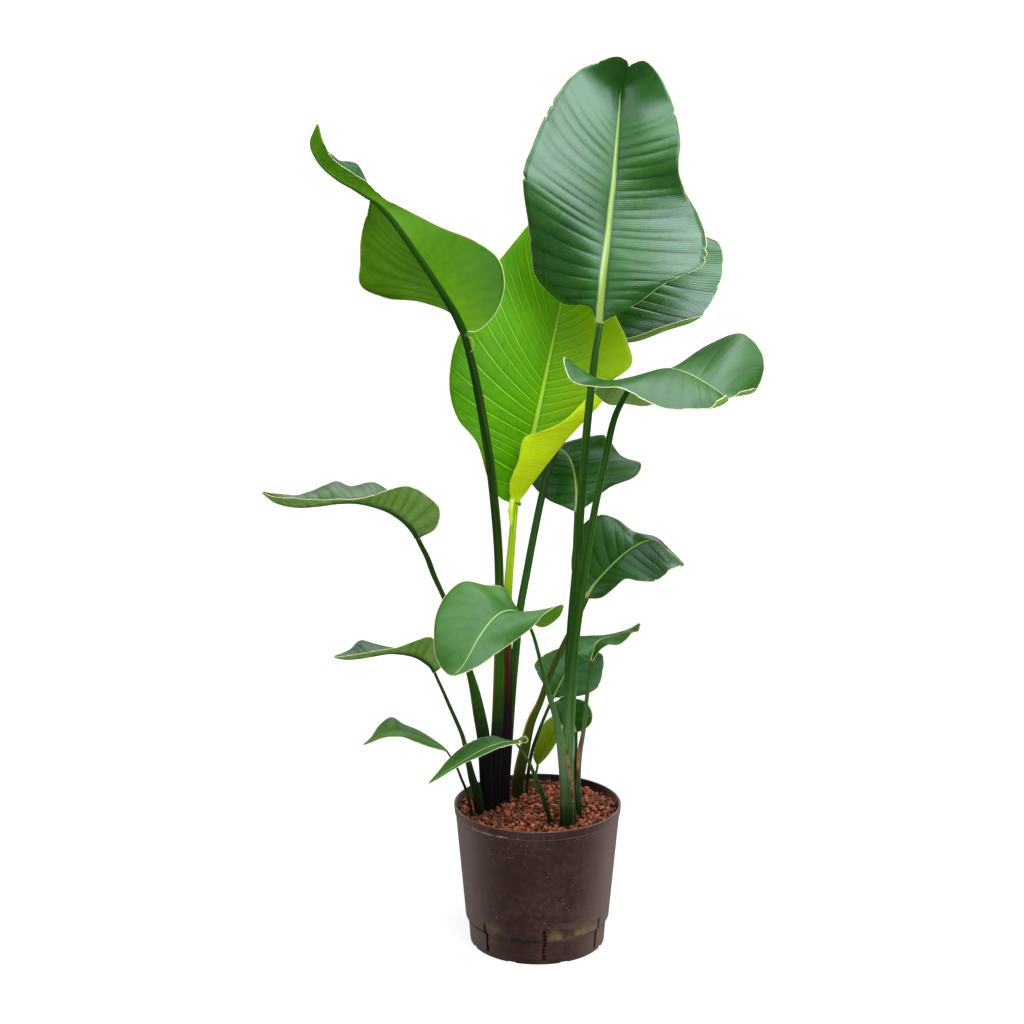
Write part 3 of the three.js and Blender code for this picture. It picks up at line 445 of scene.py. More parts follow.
# A leaf: its foot in plan, its stalk as [across, up, depth, width], and its blade in rows from the stalk to
# the tip. A row is [midrib, left margin, right margin], then points that the right and left halves pass
# through midway where they are rolled.
leaves = [
    {"name": "left_leaf_1", "foot": [-57, 2], "camber": 0.05, "ripple": 2, "stalk": [
        [-57, 215, 2, 18], [-53, 290, 3, 15.5], [-51, 360, 3, 13.5], [-50, 430, 2, 12.5],
        [-50, 500, -1, 11.5], [-53, 560, -6, 11.5], [-61, 640, -13, 11.5], [-70, 700, -20, 11.5],
        [-81, 760, -29, 10.5], [-93, 812, -38, 8.5]], "blade": [
        [[-93, 812, -38]], [[-97, 822, -40], [-76, 814, -32], [-109, 835, -24]],
        [[-105, 838, -44], [-52, 838, -16], [-142, 849, -2]],
        [[-118, 859, -50], [-42, 872, -2], [-184, 860, 10]],
        [[-133, 882, -57], [-50, 904, 4], [-217, 877, 3]],
        [[-150, 907, -65], [-78, 926, 2], [-223, 918, -18]],
        [[-168, 933, -75], [-124, 944, -12], [-219, 950, -40]],
        [[-186, 957, -86], [-168, 967, -34], [-214, 977, -58]],
        [[-205, 975, -98], [-193, 981, -78], [-213, 1002, -66]],
        [[-227, 990, -110], [-211, 999, -106], [-223, 1018, -78]],
        [[-250, 1003, -121], [-234, 1012, -121], [-246, 1025, -98]],
        [[-271, 1022, -131], [-254, 1028, -133], [-262, 1039, -118]],
        [[-281, 1045, -138], [-264, 1047, -141], [-270, 1053, -132]],
        [[-272, 1069, -143], [-270, 1069, -142], [-273, 1071, -141]]]},
    {"name": "left_leaf_2", "foot": [-43, 14], "camber": 0.04, "ripple": 1.5, "stalk": [
        [-43, 215, 14, 13], [-40, 290, 14, 12.5], [-39, 360, 15, 12], [-40, 430, 17, 11.5],
        [-38, 490, 21, 11], [-34, 540, 27, 10], [-30, 592, 34, 8.5]], "blade": [
        [[-30, 592, 34]], [[-28, 602, 37], [-50, 601, 27], [-37, 604, 22], [-20, 602, 40]],
        [[-24, 617, 40], [-65, 626, 24], [-36, 621, 18], [-8, 619, 44]],
        [[-18, 640, 45], [-79, 672, 24], [-27, 647, 17], [14, 648, 48]],
        [[-12, 664, 50], [-102, 702, 26], [-20, 677, 20], [36, 676, 52]],
        [[-6, 688, 56], [-113, 738, 31], [4, 686, 27], [60, 702, 55]],
        [[-1, 711, 62], [-109, 784, 44], [30, 699, 34], [80, 727, 56]],
        [[4, 735, 68], [-90, 832, 62], [66, 735, 46], [88, 744, 58]],
        [[9, 760, 74], [-66, 878, 80], [117, 772, 64], [66, 768, 68]],
        [[15, 790, 82], [-42, 912, 95], [112, 800, 74], [66, 797, 77]],
        [[22, 824, 91], [-12, 948, 110], [95, 836, 87], [60, 832, 88]],
        [[29, 862, 102], [12, 968, 121], [84, 882, 100], [58, 873, 101]],
        [[35, 902, 113], [28, 982, 129], [70, 930, 114], [53, 917, 113]],
        [[40, 944, 124], [38, 988, 135], [56, 970, 126], [48, 958, 125]],
        [[44, 988, 136], [43, 990, 136], [46, 990, 136], [45, 989, 136]]]},
    {"name": "left_leaf_3", "foot": [-66, -8], "camber": 0.06, "ripple": 1.5, "stalk": [
        [-68, 230, -13, 17], [-71, 280, -19, 17.5], [-76, 310, -24, 17], [-82, 342, -31, 13.5],
        [-89, 370, -37, 9.5], [-106, 430, -50, 8], [-123, 473, -61, 7.5], [-135, 501, -68, 9],
        [-144, 528, -75, 9], [-152, 549, -81, 8]], "blade": [
        [[-152, 549, -81]], [[-156, 556, -83], [-131, 560, -98], [-141, 572, -62]],
        [[-163, 565, -87], [-126, 586, -112], [-148, 594, -46]],
        [[-174, 575, -93], [-142, 605, -126], [-168, 603, -36]],
        [[-190, 585, -102], [-165, 616, -138], [-192, 609, -34]],
        [[-210, 592, -113], [-190, 609, -148], [-211, 621, -38]],
        [[-232, 596, -125], [-220, 600, -158], [-237, 617, -52]],
        [[-256, 595, -138], [-252, 599, -170], [-259, 621, -70]],
        [[-282, 591, -152], [-285, 598, -184], [-284, 610, -96]],
        [[-308, 589, -165], [-315, 599, -192], [-306, 604, -126]],
        [[-334, 594, -178], [-338, 602, -194], [-332, 606, -158]],
        [[-353, 607, -188], [-355, 608, -190], [-351, 609, -186]]]},
    {"name": "left_leaf_4", "foot": [-75, -20], "camber": 0.06, "ripple": 1, "stalk": [
        [-80, 203, -24, 13], [-85, 220, -27, 11], [-90, 242, -31, 8.5], [-98, 280, -41, 6],
        [-106, 301, -47, 6], [-119, 332, -57, 5.5], [-133, 369, -67, 5]], "blade": [
        [[-133, 369, -67]], [[-137, 376, -69], [-124, 378, -80], [-132, 388, -54]],
        [[-145, 383, -73], [-127, 398, -90], [-140, 399, -44]],
        [[-157, 390, -79], [-138, 416, -99], [-160, 400, -38]],
        [[-173, 394, -88], [-157, 411, -107], [-186, 400, -40]],
        [[-193, 395, -99], [-180, 402, -115], [-208, 406, -46]],
        [[-214, 391, -110], [-206, 398, -124], [-229, 411, -58]],
        [[-235, 387, -121], [-232, 393, -132], [-241, 401, -82]],
        [[-251, 386, -129], [-250, 390, -137], [-252, 395, -108]],
        [[-265, 388, -136], [-266, 389, -138], [-264, 391, -134]]]},
    {"name": "left_leaf_5", "foot": [-84, -26], "camber": 0.08, "ripple": 1, "stalk": [
        [-93, 203, -32, 4.5], [-100, 222, -38, 4.2], [-106, 238, -42, 4], [-112, 250, -45, 3.8],
        [-118, 261, -48, 3.6]], "blade": [
        [[-118, 261, -48]], [[-128, 267, -53], [-127, 262, -63], [-128, 270, -39]],
        [[-142, 274, -59], [-142, 266, -76], [-142, 280, -34]],
        [[-158, 282, -66], [-158, 272, -88], [-157, 289, -32]],
        [[-175, 287, -74], [-176, 279, -98], [-174, 297, -36]],
        [[-190, 288, -82], [-192, 280, -104], [-190, 307, -46]],
        [[-204, 284, -90], [-206, 277, -106], [-206, 297, -62]],
        [[-217, 276, -97], [-218, 272, -104], [-218, 279, -82]],
        [[-228, 269, -102], [-229, 268, -104], [-228, 270, -100]]]},
    {"name": "left_leaf_6", "foot": [-42, 25], "camber": 0.05, "ripple": 2.5, "stalk": [
        [-42, 215, 25, 12], [-38, 280, 26, 12], [-33, 350, 30, 11], [-28, 405, 35, 10.5],
        [-23, 455, 41, 10.2], [-15, 500, 49, 10], [-7, 545, 57, 9.8], [5, 605, 69, 9.5], [14, 640, 76, 9.5],
        [28, 682, 87, 9.2], [48, 740, 101, 9], [66, 806, 118, 8.5]], "blade": [
        [[66, 806, 118]], [[70, 820, 122], [46, 814, 116], [112, 800, 110]],
        [[76, 843, 129], [28, 836, 124], [158, 815, 108]],
        [[83, 869, 137], [18, 872, 134], [196, 828, 112]],
        [[90, 898, 146], [14, 914, 146], [214, 848, 118]],
        [[97, 928, 155], [20, 956, 158], [229, 888, 128]],
        [[103, 960, 165], [36, 996, 170], [222, 924, 140]],
        [[109, 994, 175], [60, 1030, 183], [194, 930, 154]],
        [[113, 1030, 186], [88, 1054, 193], [158, 990, 176]],
        [[116, 1066, 198], [113, 1068, 198], [119, 1066, 198]]]},
    {"name": "left_leaf_7", "foot": [-27, 34], "camber": 0.02, "ripple": 1.5, "stalk": [
        [-27, 205, 36, 16], [-24, 230, 37, 16], [-18, 260, 39, 15], [-9, 300, 42, 12], [3, 328, 45, 9],
        [14, 361, 48, 8.2], [31, 400, 51, 8], [48, 436, 54, 8], [61, 468, 57, 8]], "blade": [
        [[61, 468, 57]], [[66, 476, 58], [46, 492, 68], [82, 468, 46]],
        [[74, 488, 59], [42, 518, 77], [98, 481, 37]], [[85, 501, 58], [50, 556, 85], [113, 493, 28]],
        [[98, 515, 56], [75, 578, 84], [130, 490, 18]], [[113, 529, 52], [98, 574, 76], [148, 490, 12]],
        [[130, 540, 45], [122, 557, 66], [163, 498, 8]], [[149, 545, 35], [150, 549, 50], [172, 506, 6]],
        [[168, 529, 20], [168, 534, 26], [178, 509, 8]], [[187, 511, 8], [188, 513, 10], [187, 509, 7]]]},
    {"name": "left_leaf_8", "foot": [-14, 45], "camber": 0.05, "ripple": 1, "stalk": [
        [-14, 212, 48, 5], [-11, 240, 52, 5], [-7, 262, 56, 4.8], [3, 292, 62, 4.6], [12, 315, 67, 4.5],
        [20, 334, 72, 4.4]], "blade": [
        [[20, 334, 72]], [[23, 341, 74], [8, 350, 70], [40, 334, 68]],
        [[28, 351, 78], [-1, 367, 74], [62, 338, 68]], [[34, 363, 84], [-5, 379, 80], [78, 348, 72]],
        [[40, 374, 91], [6, 391, 92], [85, 370, 80]], [[46, 385, 100], [24, 400, 104], [85, 390, 92]],
        [[51, 394, 112], [40, 402, 118], [74, 397, 108]], [[56, 400, 128], [54, 402, 127], [59, 401, 128]]]},
    {"name": "left_leaf_9", "foot": [-6, 84], "camber": 0.08, "ripple": 0.8, "stalk": [
        [-4, 224, 84, 4], [-1, 234, 85, 3.6], [0, 241, 86, 3.4]], "blade": [
        [[0, 241, 86]], [[6, 253, 87], [-6, 253, 83], [11, 251, 84]],
        [[12, 267, 89], [-3, 268, 82], [20, 264, 84]], [[17, 282, 92], [2, 285, 84], [28, 280, 88]],
        [[22, 297, 96], [10, 301, 91], [32, 295, 94]], [[26, 312, 101], [24, 312, 100], [28, 312, 101]]]},
    {"name": "right_leaf_1", "foot": [38, -41], "camber": 0.05, "ripple": 2.5, "stalk": [
        [38, 230, -41, 15], [40, 320, -41, 14], [43, 420, -40, 12.5], [50, 520, -38, 11],
        [56, 620, -36, 10.5], [62, 700, -33, 10.5], [68, 760, -29, 10], [75, 823, -22, 8.5]], "blade": [
        [[75, 823, -22]], [[76, 836, -20], [63, 845, -8], [97, 834, -33]],
        [[78, 856, -16], [24, 850, 20], [125, 850, -43]], [[80, 879, -10], [-8, 882, 21], [152, 870, -50]],
        [[82, 901, -4], [-13, 918, 3], [180, 883, -51]], [[84, 922, 2], [-15, 950, -7], [205, 897, -43]],
        [[86, 945, 9], [-20, 984, -11], [209, 922, -28]], [[88, 970, 16], [-20, 1013, -9], [198, 958, -6]],
        [[91, 996, 23], [-10, 1043, -1], [183, 985, 0]], [[93, 1022, 31], [6, 1078, 13], [172, 1016, -4]],
        [[95, 1050, 40], [26, 1113, 32], [174, 1052, 2]], [[97, 1080, 50], [50, 1135, 44], [163, 1094, 22]],
        [[99, 1107, 57], [76, 1146, 42], [146, 1130, 30]],
        [[104, 1128, 50], [96, 1151, 38], [127, 1145, 34]],
        [[109, 1138, 43], [107, 1145, 39], [112, 1141, 41]]]},
    {"name": "right_leaf_2", "foot": [43, -54], "camber": 0.06, "ripple": 1.5, "stalk": [
        [40, 240, -55, 15], [43, 340, -56, 14.5], [47, 410, -57, 13.5], [54, 462, -58, 11.5],
        [62, 520, -59, 9.8], [71, 580, -60, 9.6], [83, 640, -62, 9.8], [95, 700, -64, 10],
        [113, 746, -67, 9]], "blade": [
        [[114, 748, -67]], [[118, 752, -67], [86, 744, -50], [90, 751, -76], [105, 749, -72]],
        [[124, 755, -67], [70, 738, -34], [60, 759, -84], [92, 750, -78]],
        [[131, 759, -66], [88, 721, -18], [32, 781, -92], [83, 751, -84]],
        [[139, 762, -65], [110, 722, -4], [42, 750, -106], [92, 751, -92]],
        [[148, 765, -65], [136, 718, 6], [74, 742, -116], [114, 754, -96]],
        [[158, 767, -67], [158, 726, 16], [105, 742, -122], [135, 757, -98]],
        [[170, 766, -71], [174, 760, 22], [130, 729, -130], [153, 754, -104]],
        [[183, 762, -78], [194, 785, 18], [158, 716, -138], [173, 746, -111]],
        [[198, 755, -87], [224, 803, 4], [188, 714, -140], [194, 740, -116]],
        [[213, 746, -97], [256, 810, -18], [214, 715, -136], [214, 734, -119]],
        [[225, 738, -105], [282, 778, -48], [228, 720, -130], [227, 731, -119]],
        [[234, 731, -111], [274, 740, -78], [236, 725, -121], [235, 728, -117]],
        [[240, 728, -114], [242, 729, -112], [239, 727, -116], [240, 728, -115]]]},
    {"name": "right_leaf_3", "foot": [34, -28], "camber": 0.05, "ripple": 2, "stalk": [
        [35, 240, -22, 9.5], [38, 330, -6, 9], [42, 430, 14, 8.8], [46, 475, 26, 8.6], [48, 520, 37, 8.6],
        [49, 582, 53, 8]], "blade": [
        [[49, 582, 53]], [[49, 592, 58], [30, 589, 62], [64, 590, 60]],
        [[49, 606, 68], [11, 598, 84], [90, 613, 62]], [[47, 624, 82], [-8, 617, 108], [124, 627, 64]],
        [[43, 643, 100], [-16, 640, 130], [131, 645, 84]],
        [[36, 657, 120], [-12, 660, 150], [104, 656, 112]],
        [[26, 664, 142], [-4, 662, 166], [84, 680, 136]], [[14, 664, 164], [-3, 655, 180], [50, 670, 160]],
        [[0, 652, 186], [-2, 650, 187], [5, 655, 186]]]},
    {"name": "right_leaf_4", "foot": [55, -38], "camber": 0.06, "ripple": 1, "stalk": [
        [53, 215, -38, 7.5], [55, 255, -37, 6.5], [60, 290, -37, 5.8], [64, 335, -36, 5.4],
        [69, 383, -34, 5]], "blade": [
        [[69, 383, -34]], [[70, 389, -33], [54, 393, -36], [77, 393, -40]],
        [[72, 397, -31], [45, 404, -30], [84, 401, -46]], [[75, 406, -27], [47, 415, -16], [92, 405, -48]],
        [[82, 413, -21], [62, 417, -4], [104, 405, -44]], [[92, 416, -15], [84, 418, 2], [115, 412, -36]],
        [[105, 420, -12], [103, 422, -2], [123, 421, -26]],
        [[120, 426, -10], [120, 428, -6], [131, 424, -16]],
        [[132, 434, -9], [131, 436, -8], [133, 433, -11]]]},
    {"name": "right_leaf_5", "foot": [36, -67], "camber": 0.06, "ripple": 1.5, "stalk": [
        [38, 205, -68, 18], [33, 251, -72, 13], [25, 300, -77, 8.5], [14, 340, -83, 7], [4, 380, -91, 6.4],
        [-3, 408, -98, 6.2], [-10, 430, -104, 6.2], [-20, 445, -112, 6]], "blade": [
        [[-21, 446, -113]], [[-26, 449, -117], [6, 428, -102], [-33, 463, -106], None, [-12, 442, -109]],
        [[-32, 451, -121], [28, 443, -100], [-46, 483, -100], None, [-4, 447, -112]],
        [[-39, 451, -127], [33, 461, -110], [-70, 485, -100], None, [-3, 450, -120]],
        [[-48, 448, -135], [10, 447, -126], [-98, 489, -106], None, [-20, 448, -132]],
        [[-58, 440, -143], [-8, 427, -137], [-118, 474, -116], None, [-33, 437, -142]],
        [[-68, 428, -151], [-30, 411, -149], [-132, 446, -131], None, [-49, 423, -152]],
        [[-79, 411, -160], [-50, 396, -161], [-135, 412, -147]],
        [[-89, 392, -168], [-70, 380, -171], [-131, 384, -161]],
        [[-99, 375, -174], [-90, 369, -177], [-120, 367, -173]],
        [[-110, 364, -179], [-108, 362, -179], [-113, 363, -179]]]},
    {"name": "right_leaf_6", "foot": [20, -63], "camber": 0.08, "ripple": 1, "stalk": [
        [7, 198, -72, 6.4], [2, 212, -76, 5.8], [-4, 227, -81, 5.4], [-13, 249, -88, 5],
        [-27, 272, -98, 4.2]], "blade": [
        [[-27, 272, -98]], [[-32, 273, -101], [-20, 271, -106], [-16, 277, -94]],
        [[-42, 273, -107], [-38, 268, -117], [-36, 275, -93]],
        [[-56, 269, -115], [-58, 261, -127], [-58, 281, -96]],
        [[-72, 262, -124], [-76, 252, -135], [-80, 277, -102]],
        [[-90, 251, -133], [-95, 244, -141], [-98, 267, -112]],
        [[-110, 238, -141], [-113, 233, -147], [-118, 248, -124]],
        [[-128, 226, -148], [-130, 222, -151], [-133, 229, -138]],
        [[-143, 215, -153], [-144, 214, -154], [-144, 216, -151]]]},
    {"name": "right_leaf_7", "foot": [48, -14], "camber": 0.06, "ripple": 1, "stalk": [
        [49, 225, -10, 5], [50, 255, -6, 4.6], [50, 286, 0, 4.2]], "blade": [
        [[50, 286, 0]], [[49, 291, 2], [36, 292, 4], [63, 291, -2]],
        [[47, 299, 5], [26, 303, 8], [71, 301, -2]], [[45, 308, 8], [20, 317, 12], [71, 315, 2]],
        [[42, 317, 11], [20, 327, 15], [63, 328, 8]], [[38, 325, 14], [26, 331, 17], [50, 333, 14]],
        [[33, 335, 17], [31, 336, 17], [36, 336, 17]]]},
]

bed = {"rootTop": 130.0, "level": 181.0, "mound": 5.0, "clearance": 0.4}
stalkShape = {
    "steps": 110, "sides": 28, "rootWidth": 0.95, "smoothing": 9, "footFlatness": 0.45, "tipFlatness": 0.75,
    "neck": 40.0, "channelDepth": 0.3, "channelWidth": 0.42,
    "wingHeight": 0.6, "wingLeft": 0.25, "wingAngle": 0.62, "wingWidth": 0.16, "wingFade": (0.32, 0.5),
    "wingWaves": 47, "wingWave": 0.25, "ribs": 9, "ribHeight": 0.012, "lap": 1.2, "crown": 0.2,
}
bladeShape = {
    "thickness": 0.8, "marginThickness": 0.45, "marginThinning": 4.0, "rowsPerPleat": 9, "fewestRows": 60,
    "pleatPitch": 12.5, "pleatHeight": 1.7, "pleatJitter": 0.35, "pleatStrength": (0.55, 1.15),
    "pleatRound": 0.45, "pleatMiddle": 0.7, "pleatFadeIn": 9, "pleatAtMargin": 0.8, "fullPleats": 0.6,
    "pleatWidths": (8, 40), "unevenWidths": (10, 60), "fewestPleats": 5, "fullSize": 260.0,
    "columns": 15, "columnSpread": 0.92,
    "ribColumns": (0.3, 0.62, 0.9, 1.15), "ribColumnLimits": (0.1, 0.2, 0.3, 0.4),
    "ribTip": 0.7, "ribEdge": 0.05, "ribSlimming": 14, "ribGroove": 0.7, "keelTaper": 0.9,
    "waves": 17, "waveShift": 1.9, "ruffle": 1.0, "ruffleLengths": (5.5, 19), "swellWaves": 9.0,
    "swellShift": 1.3, "bowFade": 0.12, "bowFrom": 0.72, "bowRound": 1.4, "nick": 0.9, "nickLength": 9,
    "tearDepth": (1.2, 3.4), "tearRun": (0.15, 0.95), "tearHalf": (0.006, 0.016), "tearLimit": 0.1,
}
# How each blade differs: how far its veins lean towards the tip on the left and right, where its midrib
# fades, and its unevenness. A bow is (side, from, to, depth) along the midrib.
bladeHabit = {
    "every": {"sweep": (0.08, 0.08), "veinBend": 0.6, "ribEnd": 1.0, "ribWidth": 0.85, "ribSlim": 0.45,
              "ribTaper": 0.8, "pleats": (0.9, 0.9), "plainTip": 34.0, "ruffle": 1.0, "tears": 4,
              "swell": 2.0, "bows": [], "curls": []},
    "left_leaf_1": {"sweep": (0.13, 0.26), "veinBend": 0.15, "pleats": (0.2, 0.7), "ribSlim": 0.4,
                    "plainTip": 200.0, "bows": [(1, 0.05, 0.45, 10.0)], "curls": [
        {"side": 1, "span": (0.045, 0.085, 0.12, 0.17), "reach": 11.0, "radius": 7.0, "turn": 85,
         "toward": -1, "steps": 8}]},
    "left_leaf_2": {"sweep": (0.05, 0.08), "pleats": (0.6, 0.6), "ruffle": 0.4, "tears": 1, "ribWidth": 1.3,
                    "ribSlim": 0.7},
    "left_leaf_5": {"pleats": (0.4, 0.4)},
    "left_leaf_6": {"pleats": (1.1, 1.1), "tears": 7, "curls": [
        {"side": 1, "span": (0.0, 0.04, 0.16, 0.25), "reach": 17.0, "radius": 2.6, "turn": 165,
         "toward": 1, "steps": 9}]},
    "left_leaf_9": {"pleats": (0.3, 0.3)},
    "right_leaf_1": {"sweep": (0.09, 0.06), "ribEnd": 0.91, "ribWidth": 1.55, "ribSlim": 0.82,
                     "ribTaper": 0.5, "pleats": (0.8, 0.85), "plainTip": 98.0, "tears": 6,
                     "bows": [(-1, -0.12, 0.3, 10.0), (-1, 0.36, 0.66, -4.0)]},
    "right_leaf_2": {"pleats": (0.4, 0.4), "curls": [
        {"side": -1, "span": (0.935, 0.955, 0.98, 0.998), "reach": 9.0, "radius": 2.0, "turn": 150,
         "toward": 1, "steps": 7},
        {"side": 1, "span": (0.66, 0.84, 0.93, 0.975), "reach": 11.0, "radius": 2.0, "turn": 150,
         "toward": 1, "steps": 7}]},
    "right_leaf_5": {"pleats": (0.2, 0.2), "sweep": (0.1, 0.12), "veinBend": 0.2},
    "right_leaf_6": {"pleats": (0.25, 0.25)},
}


def upperFace(leaf):
    rows = [onSheet(row[:3]) for row in leaf["blade"][1:3]]
    along = rows[1][0] - onSheet(leaf["blade"][0])[0]
    beside = rows[1][2] - rows[1][1] + rows[0][2] - rows[0][1]
    return unit(np.cross(beside, along))


def stalkCurve(leaf):
    x, y = leaf["foot"]
    level = bed["level"]
    return np.vstack([[x, y, bed["rootTop"] + bed["clearance"]], [x, y, level - 14], onSheet(leaf["stalk"])])


def makeStalk(leaf, material):
    shape = SimpleNamespace(**stalkShape)
    curve = stalkCurve(leaf)
    t, length = evenSpacing(curve, shape.steps + 1)
    share = np.linspace(0, 1, len(t))
    places, along = curveAt(curve, t), slopeAt(curve, t)
    first = leaf["stalk"][0][3]
    widths = [first * shape.rootWidth, first] + [row[3] for row in leaf["stalk"]]
    width = np.interp(t, np.linspace(0, 1, len(widths)), widths)
    width = np.pad(width, shape.smoothing // 2, mode="edge")
    width = np.convolve(width, np.ones(shape.smoothing) / shape.smoothing, "valid")
    topFace = upperFace(leaf)
    footFace = np.array([0, -1.0 if topFace[1] < 0 else 1.0, 0])
    side = unit(np.cross(along, footFace + (topFace - footFace) * (share ** 2)[:, None]))
    front = unit(np.cross(side, along))
    thick = width * (shape.footFlatness + (shape.tipFlatness - shape.footFlatness) * share)
    places = places - front * (smoothStep(share, 1 - shape.neck / length, 1) * (thick / 2 - 0.5))[:, None]

    angle = np.linspace(0, 2 * np.pi, shape.sides, endpoint=False)
    turned = np.minimum(angle, 2 * np.pi - angle)  # from the middle of the channel
    channel = shape.channelDepth * np.exp(-((turned / shape.channelWidth) ** 2))
    wing = np.exp(-(((turned - shape.wingAngle) / shape.wingWidth) ** 2))  # thin raised edges of the sheath
    wingHeight = shape.wingHeight * (shape.wingLeft + (1 - smoothStep(share, *shape.wingFade)))
    wingHeight = wingHeight * (1 + shape.wingWave * np.sin(share * shape.wingWaves + leaf["foot"][0]))
    out = (1 - channel)[None, :] + (wing[None, :] * wingHeight[:, None]) / (width[:, None] / 2)
    out = out * (1 + shape.ribHeight * np.sin(angle * shape.ribs)[None, :])
    rings = (places[:, None, :]
             + front[:, None, :] * (thick[:, None] / 2 * np.cos(angle) * out)[..., None]
             + side[:, None, :] * (width[:, None] / 2 * np.sin(angle) * out)[..., None])
    rings[-1] += along[-1] * shape.lap
    points, faces = closedTube(rings, rings[0].mean(0), rings[-1].mean(0) + along[-1] * shape.crown)
    height = np.append(np.repeat(places[:, 2], shape.sides), places[[0, -1], 2])
    facing = np.append(np.tile(np.cos(angle), len(t)), [1, 1])
    aside = np.append(np.tile(np.sin(angle), len(t)), [0, 0])
    rise = np.stack([height * mm, np.zeros(len(height))], -1)
    maps = {"round": np.stack([facing, aside], -1), "rise": rise}
    return buildMesh(leaf["name"] + "_stalk_fine", points, faces, [material], maps=maps)


def bladePlan(leaf):  # what both halves of a blade share
    shape = SimpleNamespace(**bladeShape)
    curve = stalkCurve(leaf)
    along = slopeAt(curve, np.array([1.0]))[0]
    side = unit(np.cross(along, upperFace(leaf)))
    stalkWidth = leaf["stalk"][-1][3]
    start = curve[-1] + along * bed["clearance"]
    neck = side * stalkWidth / 2
    stations = [[start, start - neck, start + neck]] + [onSheet(row[:3]) for row in leaf["blade"][1:]]
    rib, left, right = np.array(stations).transpose(1, 0, 2)

    def halfway(edge, k):  # the points that a rolled half passes through
        given = [row[k] if len(row) > k else None for row in leaf["blade"]]
        if not any(given):
            return None
        return np.array([(r + e) / 2 if g is None else onSheet(g)[0] for g, r, e in zip(given, rib, edge)])

    spacing, length = evenSpacing(rib, 401)
    draw = np.random.default_rng(len(leaf["name"]) + int(abs(rib[3, 0]) * 7))
    pleats = max(shape.fewestPleats, round(length / shape.pleatPitch))
    widths = 1 + shape.pleatJitter * draw.uniform(-1, 1, pleats)
    borders = np.concatenate([[0], np.cumsum(widths)]) / widths.sum()
    strength = draw.uniform(*shape.pleatStrength, pleats + 2)
    rows = max(shape.fewestRows, pleats * shape.rowsPerPleat) + 1
    run = np.linspace(0, 1, rows)  # share of the midrib's length where a row, which follows a vein, leaves it
    phase = np.interp(run, borders, np.arange(len(borders)))
    crest = np.sin(np.pi * (phase - np.floor(phase))) ** shape.pleatRound - shape.pleatMiddle
    habit = SimpleNamespace(**{**bladeHabit["every"], **bladeHabit.get(leaf["name"], {})})
    ribShare = np.clip(1 - run / habit.ribEnd, 0, 1)
    slimming = habit.ribSlim + (1 - habit.ribSlim) * np.exp(-run * shape.ribSlimming)
    ribHalf = (stalkWidth / 2 * habit.ribWidth * slimming * ribShare ** habit.ribTaper
               + shape.ribTip * smoothStep(ribShare, 0, 0.06) + shape.ribEdge)
    return SimpleNamespace(
        front=unit(np.cross(side, along)), stalkWidth=stalkWidth, rib=rib, left=left, right=right,
        halves={-1: (left, halfway(left, 4)), 1: (right, halfway(right, 3))}, spacing=spacing, length=length,
        draw=draw, run=run, phase=phase, profile=crest * strength[np.minimum(phase.astype(int), pleats)],
        scale=min(1.0, length / shape.fullSize), habit=habit, ribShare=ribShare, ribHalf=ribHalf)


# Points, upper face and place along the rails, at a share s of the way from the midrib to the margin
def sheetAt(leaf, plan, sign, s, step=1e-3):
    edgeRail, middle = plan.halves[sign]
    bend = plan.habit.veinBend
    even = np.linspace(0, 1, len(plan.spacing))
    sweep = plan.habit.sweep[max(sign, 0)] * np.sin(np.pi * plan.run)
    travelled = plan.run[:, None] + sweep[:, None] * ((1 - bend) * s + bend * s * s)
    t = np.interp(travelled, even, plan.spacing)
    t = np.where(s == 0, np.interp(plan.run, even, plan.spacing)[:, None], t)

    def rail(points, t):
        return curveAt(points, t.ravel()).reshape(*t.shape, 3)

    core, edge = rail(plan.rib, t), rail(edgeRail, t)
    slope = rail(plan.rib, np.minimum(t + step, 1)) - rail(plan.rib, np.maximum(t - step, 0))
    normal = unit(np.cross(unit(rail(plan.right, t) - rail(plan.left, t)), slope))
    width = np.linalg.norm(edge - core, axis=-1, keepdims=True)
    bulge = rail(middle, t) if middle is not None else (core + edge) / 2 + normal * leaf["camber"] * width
    k = s[..., None]
    return core * (1 - k) * (1 - 2 * k) + bulge * 4 * k * (1 - k) + edge * k * (2 * k - 1), normal, t


# Rolls a margin over: the strip beyond it turns through an arc, then runs on straight
def curlMargin(points, normal, run, curl):
    first, full, fade, last = curl["span"]
    reach = 0.6 + curl["reach"] * smoothStep(run, first, full) * (1 - smoothStep(run, fade, last))
    out = unit(points[:, -1] - points[:, -3])
    across = unit(normal - out * (normal * out).sum(1, keepdims=True)) * curl["toward"]
    radius, turn = curl["radius"], math.radians(curl["turn"])
    extra = reach[:, None] * np.linspace(0, 1, curl["steps"] + 1)[1:]
    bent = np.minimum(extra / radius, turn)
    straight = np.maximum(extra - radius * turn, 0)
    ahead = radius * np.sin(bent) + straight * np.cos(bent)
    over = radius * (1 - np.cos(bent)) + straight * np.sin(bent)
    strip = points[:, -1:] + out[:, None] * ahead[..., None] + across[:, None] * over[..., None]
    return np.concatenate([points, strip], axis=1), extra


